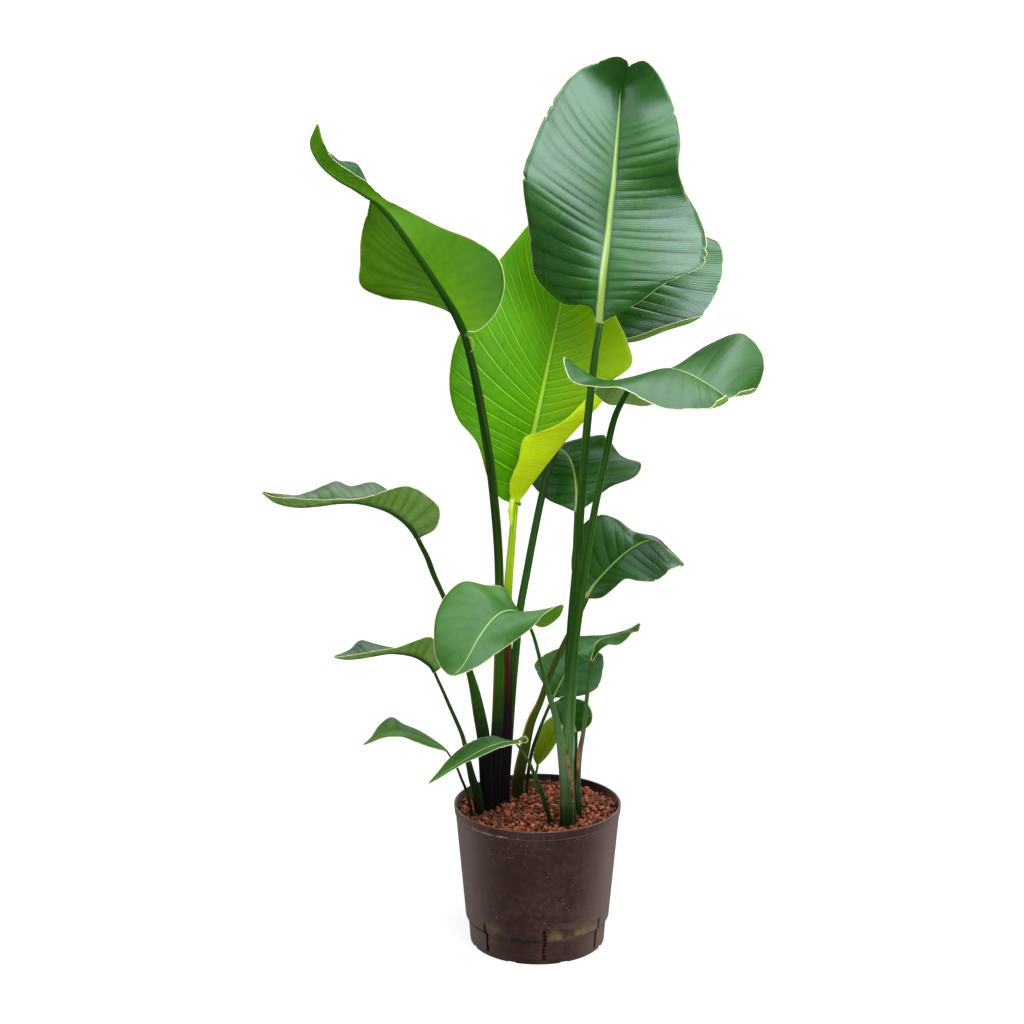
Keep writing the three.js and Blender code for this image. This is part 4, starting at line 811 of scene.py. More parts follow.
# Rows of points from the midrib out, how far they are from midrib and margin, and where the pleats show
def bladeHalf(leaf, plan, sign):
    habit, run, scale = plan.habit, plan.run, plan.scale
    shape = SimpleNamespace(**bladeShape)
    coarse = sheetAt(leaf, plan, sign, np.tile(np.linspace(0, 1, 6), (len(run), 1)))[0]
    arc = np.linalg.norm(np.diff(coarse, axis=1), axis=-1)
    width = np.maximum(arc.sum(1), 0.3)
    firstStep = np.maximum(arc[:, 0] * 5, 0.3)
    reach = np.minimum(np.array(shape.ribColumns)[None, :] * plan.ribHalf[:, None] / firstStep[:, None],
                       np.array(shape.ribColumnLimits)[None, :])
    tear = shape.nick * scale * (0.5 + 0.5 * np.sin(run * plan.length / shape.nickLength + 2 * sign))
    spans = (shape.tearRun, shape.tearDepth, shape.tearHalf)
    for place, deep, half in zip(*(plan.draw.uniform(*span, habit.tears) for span in spans)):
        tear += deep * scale * np.clip(1 - np.abs(run - place) / half, 0, 1)
    outer = np.linspace(0, 1, shape.columns)[1:] ** shape.columnSpread
    start = np.zeros((len(run), 1))
    s = np.hstack([start, reach, reach[:, -1:] + (1 - reach[:, -1:]) * outer[None, :]])
    s = s * (1 - smoothStep(s, 0.5, 1.0) * np.minimum(shape.tearLimit, tear / width)[:, None])
    points, normal, t = sheetAt(leaf, plan, sign, s)
    steps = np.linalg.norm(np.diff(points, axis=1), axis=-1)
    gap = np.concatenate([start, np.cumsum(steps, 1)], axis=1)
    edgeGap = gap[:, -1:] - gap

    besideRib = plan.ribHalf[:, None]
    fadeIn = smoothStep(gap, besideRib, besideRib + shape.pleatFadeIn) * smoothStep(run, 0, 0.05)[:, None]
    fadeOut = 1 - smoothStep(s, 0.5, 1.0) * shape.pleatAtMargin
    fromTip = np.linalg.norm(points - plan.rib[-1], axis=-1)
    plain = habit.plainTip * scale
    depth = habit.pleats[max(sign, 0)]
    pleated = smoothStep(fromTip, 0.55 * plain, plain) * smoothStep(width, *shape.pleatWidths)[:, None]
    relief = plan.profile[:, None] * (shape.pleatHeight * depth * scale) * fadeIn * fadeOut * pleated
    pleated = pleated * min(1.0, depth / shape.fullPleats)
    shift = 0 if sign < 0 else shape.waveShift
    wave = leaf["ripple"] * s ** 2 * np.sin(t * shape.waves + shift) * np.sin(np.pi * t)
    short, long = (run * plan.length / length for length in shape.ruffleLengths)
    ruffle = (shape.ruffle * habit.ruffle * scale * smoothStep(s, 0.7, 1.0)
              * (np.sin(short + sign) * np.sin(long + 2) * np.sin(np.pi * run))[:, None])
    swelling = np.sin(run * shape.swellWaves + sign * shape.swellShift) * np.sin(np.pi * run)
    swell = habit.swell * scale * np.sin(np.pi * s) * swelling[:, None]
    for side, first, last, push in habit.bows:
        if side == sign:
            fade = shape.bowFade
            span = smoothStep(run, first, first + fade) * (1 - smoothStep(run, last - fade, last))
            swell = swell - push * span[:, None] * smoothStep(s, shape.bowFrom, 1.0) ** shape.bowRound
    uneven = (wave + ruffle + swell) * smoothStep(width, *shape.unevenWidths)[:, None]
    points = points + normal * (relief + uneven)[..., None]
    for curl in habit.curls:
        if curl["side"] == sign:
            points, extra = curlMargin(points, normal[:, -1], run, curl)
            gap = np.hstack([gap, gap[:, -1:] + extra])
            edgeGap = np.hstack([edgeGap + extra[:, -1:], extra[:, -1:] - extra])
            pleated = np.pad(pleated, ((0, 0), (0, curl["steps"])))
    return points, gap, edgeGap, pleated


def makeBlade(leaf, materials):
    plan = bladePlan(leaf)
    left, right = (bladeHalf(leaf, plan, sign) for sign in (-1, 1))
    sheet, ribGap, edgeGap, pleated = (np.concatenate([l[:, :0:-1], r], axis=1) for l, r in zip(left, right))
    rows, columns = ribGap.shape
    side = np.concatenate([-left[1][:, :0:-1], right[1]], axis=1) / ribGap.max()
    face = unit(np.cross(np.gradient(sheet, axis=1), np.gradient(sheet, axis=0)))
    face[0] = plan.front
    edgeGap = np.minimum(edgeGap, ((1 - plan.run) * plan.length)[:, None])
    ribReach = ribGap / plan.ribHalf[:, None]
    inRib = np.clip(1 - ribReach ** 2, 0, 1)
    keelDepth = plan.stalkWidth * stalkShape["tipFlatness"] * plan.ribShare ** bladeShape["keelTaper"]
    keel = np.sqrt(inRib) * keelDepth[:, None]
    groove = inRib * bladeShape["ribGroove"] * plan.ribShare[:, None]
    margin = bladeShape["marginThickness"]
    thick = margin + (bladeShape["thickness"] - margin) * smoothStep(edgeGap, 0, bladeShape["marginThinning"])
    upper = sheet + face * (thick / 2 - groove)[..., None]
    lower = sheet - face * (thick / 2 + keel)[..., None]

    count = rows * columns
    top = gridQuads(rows, columns)
    under = gridQuads(rows, columns, start=count, flip=True)
    grid = np.arange(count).reshape(rows, columns)
    rim = np.concatenate([grid[0, :-1], grid[:-1, -1], grid[-1, :0:-1], grid[:0:-1, 0]])
    after = np.roll(rim, -1)
    border = np.stack([after, rim, rim + count, after + count], -1)
    along = [np.repeat(values[:, None], columns, axis=1) for values in (plan.phase, plan.run)]
    maps = {"veins": along, "edges": (ribReach, edgeGap), "form": (pleated, side)}
    maps = {label: np.tile(np.stack(pair, -1).reshape(-1, 2), (2, 1)) for label, pair in maps.items()}
    faceMaterial = np.concatenate([np.zeros(len(top)), np.ones(len(under)), np.zeros(len(border))])
    points = np.vstack([upper.reshape(-1, 3), lower.reshape(-1, 3)])
    name = leaf["name"] + "_blade_fine"
    return buildMesh(name, points, [top, under, border], materials, faceMaterial, maps)


# Leaf finishes. Each tone names the colours of the upper face and the underside. "shine" is the strength of
# the waxy sheen, and "glow" is the share of light that comes through the leaf.
waxTint = (0.76, 0.86, 1.0, 1.0)  # colour of the sheen on a leaf
creamEdge = (0.74, 0.76, 0.4)
# The crease colour is painted shade in the pleat creases on every tone but lime, where it is the lighter vein
# colour.
leafTones = {
    "deep": {"glow": 0.08, "top": {
        "Deep": (0.008, 0.052, 0.003), "Light": (0.03, 0.15, 0.008), "Crease Shade And Vein": (0.002, 0.014, 0.0015),
        "Rib": (0.3, 0.43, 0.08), "Rib Tip": (0.22, 0.38, 0.07), "Margin": creamEdge, "Gloss": 0.29,
        "Crease Depth": 0.8, "shine": 0.52}, "under": {
        "Deep": (0.08, 0.19, 0.015), "Light": (0.24, 0.4, 0.1), "Crease Shade And Vein": (0.03, 0.1, 0.006),
        "Rib": (0.015, 0.06, 0.004), "Rib Tip": (0.06, 0.16, 0.01), "Margin": creamEdge, "Gloss": 0.4,
        "shine": 0.14}},
    "bright": {"glow": 0.14, "top": {
        "Deep": (0.008, 0.052, 0.008), "Light": (0.025, 0.13, 0.03), "Crease Shade And Vein": (0.003, 0.02, 0.002),
        "Rib": (0.36, 0.46, 0.1), "Rib Tip": (0.2, 0.36, 0.05), "Margin": creamEdge, "Gloss": 0.28,
        "shine": 0.5}, "under": {
        "Deep": (0.04, 0.15, 0.002), "Light": (0.15, 0.36, 0.005), "Crease Shade And Vein": (0.025, 0.1, 0.002),
        "Rib": (0.01, 0.05, 0.002), "Rib Tip": (0.03, 0.12, 0.005), "Margin": creamEdge, "Gloss": 0.42,
        "Crease Depth": 0.3, "Margin Width": 1.5, "Side Tint": (0.02, 0.1, 0.001), "Side Share": 0.8,
        "Side Way": -1.0, "shine": 0.06}},
    "fresh": {"glow": 0.14, "top": {
        "Deep": (0.03, 0.12, 0.006), "Light": (0.09, 0.27, 0.02), "Crease Shade And Vein": (0.015, 0.07, 0.004),
        "Rib": (0.2, 0.36, 0.06), "Rib Tip": (0.14, 0.3, 0.04), "Margin": (0.4, 0.46, 0.14), "Gloss": 0.4,
        "Crease Depth": 0.4, "shine": 0.3}, "under": {
        "Deep": (0.08, 0.2, 0.01), "Light": (0.2, 0.38, 0.04), "Crease Shade And Vein": (0.04, 0.14, 0.006),
        "Rib": (0.1, 0.24, 0.02), "Rib Tip": (0.1, 0.24, 0.02), "Margin": (0.4, 0.46, 0.14), "Gloss": 0.45,
        "shine": 0.2}},
    "olive": {"glow": 0.2, "top": {
        "Deep": (0.12, 0.24, 0.002), "Light": (0.26, 0.38, 0.004), "Crease Shade And Vein": (0.1, 0.2, 0.002),
        "Rib": (0.42, 0.48, 0.03), "Rib Tip": (0.4, 0.46, 0.03), "Margin": (0.36, 0.3, 0.03), "Gloss": 0.4,
        "Crease Depth": 0.3, "shine": 0.12}, "under": {
        "Deep": (0.14, 0.26, 0.004), "Light": (0.28, 0.4, 0.01), "Crease Shade And Vein": (0.1, 0.2, 0.004),
        "Rib": (0.3, 0.4, 0.03), "Rib Tip": (0.3, 0.4, 0.03), "Margin": (0.36, 0.3, 0.03), "Gloss": 0.45,
        "shine": 0.12}},
    "lime": {"glow": 0.24, "top": {
        "Deep": (0.045, 0.25, 0.001), "Light": (0.16, 0.48, 0.002), "Crease Shade And Vein": (0.4, 0.7, 0.04),
        "Rib": (0.46, 0.68, 0.06), "Rib Tip": (0.34, 0.6, 0.04), "Margin": (0.6, 0.68, 0.1), "Gloss": 0.36,
        "Crease Depth": 1.0, "Side Tint": (0.5, 0.72, 0.003), "Side Share": 0.75, "shine": 0.05}, "under": {
        "Deep": (0.5, 0.72, 0.003), "Light": (0.7, 0.88, 0.006), "Crease Shade And Vein": (0.76, 0.88, 0.08),
        "Rib": (0.4, 0.62, 0.02), "Rib Tip": (0.4, 0.62, 0.02), "Margin": (0.6, 0.68, 0.1), "Gloss": 0.42,
        "Crease Depth": 0.5, "shine": 0.06}},
}
deep = leafTones["deep"]
leafTones["soft"] = {"glow": 0.1, "top": {
    "Deep": (0.02, 0.09, 0.006), "Light": (0.07, 0.22, 0.022), "Crease Shade And Vein": (0.012, 0.06, 0.004),
    "Rib": (0.3, 0.46, 0.14), "Rib Tip": (0.26, 0.42, 0.1), "Margin": creamEdge, "Gloss": 0.42,
    "Crease Depth": 0.4, "shine": 0.26}, "under": {
    **deep["under"], "Deep": (0.035, 0.13, 0.004), "Light": (0.13, 0.29, 0.02), "Crease Shade And Vein": (0.02, 0.08, 0.003),
    "shine": 0.07}}
leafTones["shade"] = {**deep, "top": {**deep["top"], "Gloss": 0.36, "shine": 0.22}}
leafTones["cool"] = {**deep, "top": {**deep["top"], "Gloss": 0.42, "Crease Depth": 0.5, "shine": 0.4}}
leafTone = {  # the other leaves are deep
    "left_leaf_1": "bright", "left_leaf_2": "lime", "left_leaf_5": "fresh", "left_leaf_8": "shade",
    "left_leaf_9": "olive", "right_leaf_2": "cool", "right_leaf_3": "shade", "right_leaf_4": "shade",
    "right_leaf_5": "soft", "right_leaf_6": "soft", "right_leaf_7": "shade",
}


def leafMaterial(tone, face):
    values = {"Crease Depth": 0.6, **leafTones[tone][face]}
    shine = values.pop("shine")
    material, tree, shader = newMaterial(f"{tone}Leaf{face.capitalize()}")
    skin = useGroup(tree, "leafSkin", values)
    setShader(shader, skin["Colour"], skin["Roughness"], skin["Height"], 0.3, 0.0006,
              Specular_IOR_Level=shine, Specular_Tint=waxTint)
    glow = wire(tree, "BsdfTranslucent", 0, {"Color": skin["Colour"]})
    mixed = {0: leafTones[tone]["glow"], 1: Wire(shader.outputs[0]), 2: glow}
    feed(tree.nodes["Material Output"].inputs["Surface"], wire(tree, "MixShader", 0, mixed))
    return material


# Stalk finish: dark at the foot, streaks along it, papery edges of the sheath on some, and a painted pale
# highlight along the edges where a stalk turns away. Heights are in metres: the dark foot ends at darkTop,
# green starts at greenFrom, and edge and streaks end at their tops.
stalkPlain = {
    "edgeSide": 0, "bloom": 0.0, "rim": 0.0,  # edgeSide, on the channel: -1 left, 1 right, 0 both faintly
    # The rim colour and facing paint a pale highlight along a stalk's edges where it turns away, in place of
    # a reflection.
    "rimColour": (0.3, 0.46, 0.2), "rimFacing": (0.4, 0.95), "bloomColour": (0.4, 0.46, 0.36),
    "bloomBand": (0.2, 0.26, 0.26, 0.44), "bloomPart": (0.36, 0.62), "cloud": 0.02,
    "footBlend": (-0.05, 0.06), "greenBlend": 0.12, "streakSize": 1.6, "streakAcross": 2.6,
    "streakAlong": 5.0, "streakPart": (0.46, 0.7), "streakRise": 0.08, "streakShares": (0.12, 0.8),
    "streakFade": 0.06, "streakLeft": 0.15, "edgeWidth": (0.55, 0.8), "edgeFade": 0.12,
    "edgeFoot": (-0.04, 0.08), "edgeFaint": 0.5, "roughness": 0.34, "shine": 0.14,
}
stalkTones = {
    "green": {"low": (0.006, 0.012, 0.003), "middle": (0.01, 0.055, 0.002), "high": (0.006, 0.036, 0.0015),
              "streak": (0.04, 0.14, 0.004), "edge": (0.05, 0.045, 0.01), "edgeTop": 0.42,
              "darkTop": 0.24, "greenFrom": 0.4, "rim": 0.25},
    "plum": {"low": (0.003, 0.002, 0.004), "middle": (0.016, 0.085, 0.001), "high": (0.004, 0.03, 0.0008),
             "streak": (0.05, 0.1, 0.002), "edge": (0.2, 0.075, 0.006), "edgeSide": 1, "edgeTop": 0.5,
             "darkTop": 0.31, "greenFrom": 0.44, "rim": 0.1},
    "bronze": {"low": (0.004, 0.003, 0.006), "middle": (0.035, 0.017, 0.003), "high": (0.3, 0.48, 0.003),
               "streak": (0.11, 0.05, 0.014), "edge": (0.24, 0.1, 0.01), "edgeSide": -1, "edgeTop": 0.45,
               "darkTop": 0.33, "greenFrom": 0.39, "streakTop": 0.45},
    "straw": {"low": (0.006, 0.006, 0.003), "middle": (0.035, 0.065, 0.004), "high": (0.006, 0.034, 0.0015),
              "streak": (0.07, 0.11, 0.006), "edge": (0.5, 0.26, 0.03), "edgeSide": -1, "edgeTop": 0.38,
              "darkTop": 0.22, "greenFrom": 0.36},
    "bloomed": {"low": (0.005, 0.012, 0.004), "middle": (0.018, 0.085, 0.004), "high": (0.01, 0.052, 0.001),
                "streak": (0.05, 0.15, 0.008), "edge": (0.14, 0.08, 0.05), "edgeTop": 0.3,
                "darkTop": 0.225, "greenFrom": 0.3, "bloom": 0.17, "rim": 0.5},
    "lime": {"low": (0.05, 0.14, 0.006), "middle": (0.09, 0.22, 0.006), "high": (0.16, 0.36, 0.006),
             "streak": (0.2, 0.4, 0.01), "edge": (0.3, 0.3, 0.05), "edgeTop": 0.2,
             "darkTop": 0.19, "greenFrom": 0.22, "rim": 0.2},
}
stalkTone = {  # the other stalks are green
    "left_leaf_1": "plum", "left_leaf_2": "bronze", "left_leaf_3": "plum", "left_leaf_7": "straw",
    "left_leaf_9": "lime", "right_leaf_1": "bloomed", "right_leaf_2": "bloomed", "right_leaf_4": "bloomed",
    "right_leaf_5": "bloomed",
}


def stalkMaterial(tone):
    values = SimpleNamespace(**{**stalkPlain, **stalkTones[tone]})
    material, tree, shader = newMaterial(f"{tone}Stalk")
    around, rise = readMap(tree, "round"), readMap(tree, "rise")[0]
    height = mottled(tree, 30.0, 200.0, 0.4) * values.cloud + rise
    foot = between(height, *(values.darkTop + reach for reach in values.footBlend))
    colour = blend(foot, values.low, values.middle)
    green = between(height, values.greenFrom, values.greenFrom + values.greenBlend)
    colour = blend(green, colour, values.high)
    across = values.streakAcross
    place = {0: around[0] * across, 1: around[1] * across, 2: rise * values.streakAlong}
    streak = noise(wire(tree, "CombineXYZ", 0, place), values.streakSize, 5.0, 0.65)
    streaked = between(height, values.darkTop, values.darkTop + values.streakRise, *values.streakShares)
    streaked = streaked * between(streak, *values.streakPart)
    if hasattr(values, "streakTop"):
        full = values.streakTop - values.streakFade
        streaked = streaked * between(height, values.streakTop, full, values.streakLeft, 1.0)
    colour = blend(streaked, colour, values.streak)
    lean = around[1] * values.edgeSide if values.edgeSide else maths("ABSOLUTE", around[1])
    strength = 1.0 if values.edgeSide else values.edgeFaint
    wing = between(height, values.edgeTop, values.edgeTop - values.edgeFade, 0.0, strength)
    wing = wing * between(height, *(values.darkTop + reach for reach in values.edgeFoot))
    colour = blend(wing * between(lean, *values.edgeWidth), colour, values.edge)
    if values.bloom:
        powder = between(streak, *values.bloomPart) * band(height, *values.bloomBand)
        colour = blend(powder * values.bloom, colour, values.bloomColour)
    # painted rim highlight: pale colour where the stalk turns away from view
    grazing = wire(tree, "LayerWeight", "Facing", {"Blend": 0.5})
    colour = blend(between(grazing, *values.rimFacing) * values.rim, colour, values.rimColour)
    setShader(shader, colour, values.roughness, streak, 0.14, 0.0005, Specular_IOR_Level=values.shine)
    return material


leafMaterials = {tone: [leafMaterial(tone, face) for face in ("top", "under")] for tone in sorted(leafTones)}
stalkMaterials = {tone: stalkMaterial(tone) for tone in stalkTones}
for leaf in leaves:
    name = leaf["name"]
    young = "young_" if name in ("left_leaf_2", "left_leaf_9") else ""
    stalk = makeStalk(leaf, stalkMaterials[stalkTone.get(name, "green")])
    settle(stalk, young + "stalk", name + "_stalk")
    blade = makeBlade(leaf, leafMaterials[leafTone.get(name, "deep")])
    settle(blade, young + "blade", name + "_blade")
print("Leaves made:", len(leaves))


# Dry hooks, sheath edges and small curls: narrow strips along a curve on the front sheet
stripShape = {"rows": 41, "sides": 12, "endWidth": 0.35, "thickness": 1.0, "hollow": 0.16}
strips = {
    "left_leaf_1_dry_hook": {
        "of": "left_leaf_1_stalk", "tone": "straw", "widths": [1.6, 2.4, 2.0, 1.4, 0.8],
        "path": [[-89, 806, -41], [-85, 805, -43], [-82, 797, -44], [-83, 790, -44], [-86, 787, -43]]},
    "left_leaf_2_sheath": {
        "of": "left_leaf_2_stalk", "tone": "lime", "widths": [6.0, 7.5, 7.0, 5.0, 1.6],
        "path": [[-31, 612, 33], [-33, 598, 27], [-35, 584, 23], [-35, 572, 21], [-34, 563, 20]]},
    "right_leaf_6_curl": {
        "of": "right_leaf_6_blade", "tone": "sage", "widths": [3.0, 3.4, 3.0, 2.6, 2.4, 2.0, 1.4],
        "path": [[-33, 273, -104], [-26, 275, -105], [-21, 279, -106], [-16, 280, -106], [-13, 276, -106],
                 [-16, 272, -106], [-20, 273, -105]]},
    "right_leaf_4_dry_strip": {
        "of": "right_leaf_4_stalk", "tone": "dry", "widths": [1.6, 3.6, 4.6, 2.4],
        "path": [[58, 286, -44], [55, 268, -45], [53, 246, -45], [52, 222, -44]]},
    "right_leaf_5_dry_strip": {
        "of": "right_leaf_5_stalk", "tone": "dry", "widths": [1.2, 3.0, 4.6, 4.0, 2.2],
        "path": [[36, 270, -74], [40, 246, -74], [44, 222, -73], [46, 203, -72], [47, 188, -71]]},
}
stripTones = {
    "straw": ((0.2, 0.2, 0.02), (0.34, 0.34, 0.06)), "lime": ((0.42, 0.62, 0.02), (0.58, 0.78, 0.06)),
    "sage": ((0.11, 0.2, 0.03), (0.3, 0.43, 0.1)), "dry": ((0.09, 0.022, 0.008), (0.42, 0.17, 0.05)),
}


def stripMaterial(tone):
    material, tree, shader = newMaterial(f"{tone}Strip")
    mottle = mottled(tree, 60.0, 420.0, 0.6)
    colour = blend(between(mottle, -0.5, 0.6), *stripTones[tone])
    setShader(shader, colour, 0.5, mottle, 0.3, 0.0004, Specular_IOR_Level=0.25)
    return material


def makeStrip(name, strip, material):
    curve = onSheet(strip["path"])
    t, _ = evenSpacing(curve, stripShape["rows"])
    places, along = curveAt(curve, t), slopeAt(curve, t)
    width = np.interp(t, np.linspace(0, 1, len(strip["widths"])), strip["widths"])
    width[[0, -1]] *= stripShape["endWidth"]
    side = unit(np.cross(along, eye - places))
    front = unit(np.cross(side, along))
    angle = np.linspace(0, 2 * np.pi, stripShape["sides"], endpoint=False)
    ahead = (stripShape["thickness"] / 2 * np.sin(angle)
             - width[:, None] * stripShape["hollow"] * np.cos(angle) ** 2)
    rings = (places[:, None] + side[:, None] * (width[:, None] / 2 * np.cos(angle))[..., None]
             + front[:, None] * ahead[..., None])
    return buildMesh(name, *closedTube(rings, rings[0].mean(0), rings[-1].mean(0)), [material])


stripMaterials = {tone: stripMaterial(tone) for tone in stripTones}
for name, strip in strips.items():
    slot = strip["of"].split("_")[-1]
    slot = "young_" + slot if strip["of"].startswith("left_leaf_2") else slot
    settle(makeStrip(name, strip, stripMaterials[strip["tone"]]), slot, strip["of"])
print("Dry hooks and sheath edges made:", len(strips))


# Culture pot, in millimetres. The bands of its material are heights in metres, where a mark starts, is
# full, fades and ends.
pot = {
    "rimRadius": 110.0, "height": 190.0, "footRadius": 89.0, "bandHeight": 31.0, "stepHeight": 35.0,
    "bandRadius": 91.5, "stepRadius": 95.0, "wall": 2.0, "floor": 3.0, "collarHeight": 12.0,
    "collarProud": 1.2, "lip": 1.2, "segments": 224, "slots": 7, "slotWidth": 4.5, "slotFoot": 5.0,
    "slotTop": 50.0, "slotFirst": 5.0, "slotInner": 70.0, "notches": 8, "notchWidth": 12.0,
    "notchHeight": 2.5, "notchLean": 1.0, "notchBelow": 2.0, "notchInner": 86.0, "cutOuter": 110.0,
    "collarFlare": 1.0, "collarChamfer": 1.0, "archPoints": 9, "sharpAngle": 35.0,
    "plastic": (0.032, 0.0125, 0.0105), "plasticWorn": (0.058, 0.024, 0.02), "clay": (0.2, 0.13, 0.04),
    # The nearly black colour below is painted shade, on the inner wall and on the step.
    "inside": (0.008, 0.0045, 0.004), "dust": (0.3, 0.25, 0.2), "paintedSheen": (0.19, 0.135, 0.115),
    # The first pale colour below and its two bands paint a highlight on scratches along the foot of the
    # collar, at the front left.
    "scratchHighlight": (0.34, 0.29, 0.26), "siltBand": (0.033, 0.036, 0.036, 0.062),
    "scratchHighlightBand": (0.1782, 0.1792, 0.1802, 0.1812), "scratchHighlightAcross": (-0.1, -0.085, -0.04, -0.02),
    "stepBand": (0.0298, 0.0312, 0.0352, 0.0366),
    "wallMiddle": (0.0895, 0.0909), "innerFrom": 0.06,  # slope and start of its radius, and where it counts
    "wornPart": (-0.6, 0.9), "wornGloss": 0.16, "gloss": 0.42, "runScale": (60.0, 60.0, 4.0),
    "runPart": (0.52, 0.75), "runShare": 0.35, "patchSize": 14.0, "siltPart": (0.5, 0.66), "siltShare": 0.75,
    "speckShare": 0.5, "chipSize": 60.0, "chipPart": (0.46, 0.62), "chipFront": (0.0, -0.02),
    # The facing span and share below set where a pale sheen is painted, where the wall turns away.
    "paintedSheenFacing": (0.18, 0.85), "paintedSheenShare": 0.85, "stepPart": (0.6, 0.4, 0.45, 0.95),
    "grainSize": 900.0, "grainHeight": 0.3,
}


def potOuter(z):
    wallTop = pot["height"] - pot["collarHeight"]
    heights = [0, pot["bandHeight"], pot["stepHeight"], wallTop, pot["height"]]
    topRadius = pot["rimRadius"] - pot["collarProud"] - pot["collarFlare"]
    slope = (topRadius - pot["stepRadius"]) / (wallTop - pot["stepHeight"])
    radii = [pot["footRadius"], pot["bandRadius"], pot["stepRadius"], topRadius,
             topRadius + slope * pot["collarHeight"]]
    return np.interp(z, heights, radii)


def potInner(z):
    return potOuter(z) - pot["wall"]


def revolve(profile, segments):  # closed profile from the axis back to the axis
    profile = np.asarray(profile, float)
    angle = np.linspace(0, 2 * np.pi, segments, endpoint=False)
    body = profile[1:-1]
    rings = np.stack([body[:, :1] * np.sin(angle), -body[:, :1] * np.cos(angle),
                      np.repeat(body[:, 1:], segments, axis=1)], -1)
    return closedTube(rings, [0, 0, profile[0, 1]], [0, 0, profile[-1, 1]])


def roundCorner(corner, before, after, radius, steps=4):  # arc-like points in place of a profile corner
    corner, before, after = (np.asarray(p, float) for p in (corner, before, after))
    first = corner + unit(before - corner) * radius
    last = corner + unit(after - corner) * radius
    share = np.linspace(0, 1, steps)[:, None]
    return list((1 - share) ** 2 * first + 2 * share * (1 - share) * corner + share ** 2 * last)


def cutOut(piece, cutters):
    for cutter in cutters:
        cut = piece.modifiers.new("cut", "BOOLEAN")
        cut.operation = "DIFFERENCE"
        cut.solver = "EXACT"
        cut.object = cutter
    graph = bpy.context.evaluated_depsgraph_get()
    whole = bpy.data.meshes.new_from_object(piece.evaluated_get(graph))
    piece.modifiers.clear()
    piece.data = whole
    for cutter in cutters:
        bpy.data.objects.remove(cutter)


def prismCutter(outline, inner, outer, angle):  # an upright outline swept outwards at an angle from the front
    turn = math.radians(angle)
    count = len(outline)
    points = [(mm * (x * math.cos(turn) + radius * math.sin(turn)),
               mm * (x * math.sin(turn) - radius * math.cos(turn)), mm * z)
              for radius in (inner, outer) for x, z in outline]
    sides = [[k, (k + 1) % count, (k + 1) % count + count, k + count] for k in range(count)]
    mesh = bpy.data.meshes.new("cutter")
    mesh.from_pydata(points, [], sides + [list(range(count))[::-1], list(range(count, 2 * count))])
    mesh.update()
    return addObject("cutter", mesh)


def potMaterial():
    material, tree, shader = newMaterial("cultureSatinBrown")
    where = objectPlace(tree)
    across, depth, height = split(where)
    worn = between(mottled(tree, 9.0, 130.0, 1.0), *pot["wornPart"])
    colour = blend(worn, pot["plastic"], pot["plasticWorn"])
    runs = noise(wire(tree, "Mapping", 0, {"Vector": where, "Scale": pot["runScale"]}), 1.0)
    colour = blend(between(runs, *pot["runPart"], 0.0, pot["runShare"]), colour, pot["dust"], "SOFT_LIGHT")

    patch = noise(where, pot["patchSize"], 4.0, 0.7)
    silt = band(height, *pot["siltBand"]) * between(patch, *pot["siltPart"])
    colour = blend(silt * pot["siltShare"], colour, pot["clay"])
    specks = useGroup(tree, "specks", {"Density": 210.0, "Size": 0.13, "Patches": 24.0})["Mask"]
    colour = blend(specks * pot["speckShare"], colour, pot["dust"])
    # painted shade: the inner wall is painted nearly black
    inPlan = wire(tree, "VectorMath", 0, {0: where, 1: (1.0, 1.0, 0.0)}, operation="MULTIPLY")
    fromAxis = wire(tree, "VectorMath", "Value", {0: inPlan}, operation="LENGTH")
    wallMiddle = height * pot["wallMiddle"][0] + pot["wallMiddle"][1]
    inside = maths("LESS_THAN", fromAxis, wallMiddle) * maths("GREATER_THAN", height, pot["innerFrom"])
    colour = blend(inside, colour, pot["inside"])
    # scratches along the foot of the collar at the front left, painted pale as a highlight
    chips = between(noise(where, pot["chipSize"], 5.0, 0.7), *pot["chipPart"])
    scratchHighlight = band(height, *pot["scratchHighlightBand"]) * band(across, *pot["scratchHighlightAcross"]) * chips
    colour = blend(scratchHighlight * between(depth, *pot["chipFront"]), colour, pot["scratchHighlight"])
    # painted sheen: the wall is painted paler where it turns away, in place of a reflection
    grazing = wire(tree, "LayerWeight", "Facing", {"Blend": 0.5})
    colour = blend(between(grazing, *pot["paintedSheenFacing"], 0.0, pot["paintedSheenShare"]), colour, pot["paintedSheen"])
    stepShade = band(height, *pot["stepBand"]) * between(patch, *pot["stepPart"])
    colour = blend(stepShade, colour, pot["inside"])
    relief = noise(where, pot["grainSize"], 2.0) * pot["grainHeight"] + silt
    roughness = worn * pot["wornGloss"] + pot["gloss"]
    setShader(shader, colour, roughness, relief, 0.25, 0.0004, Specular_IOR_Level=0.2)
    return material


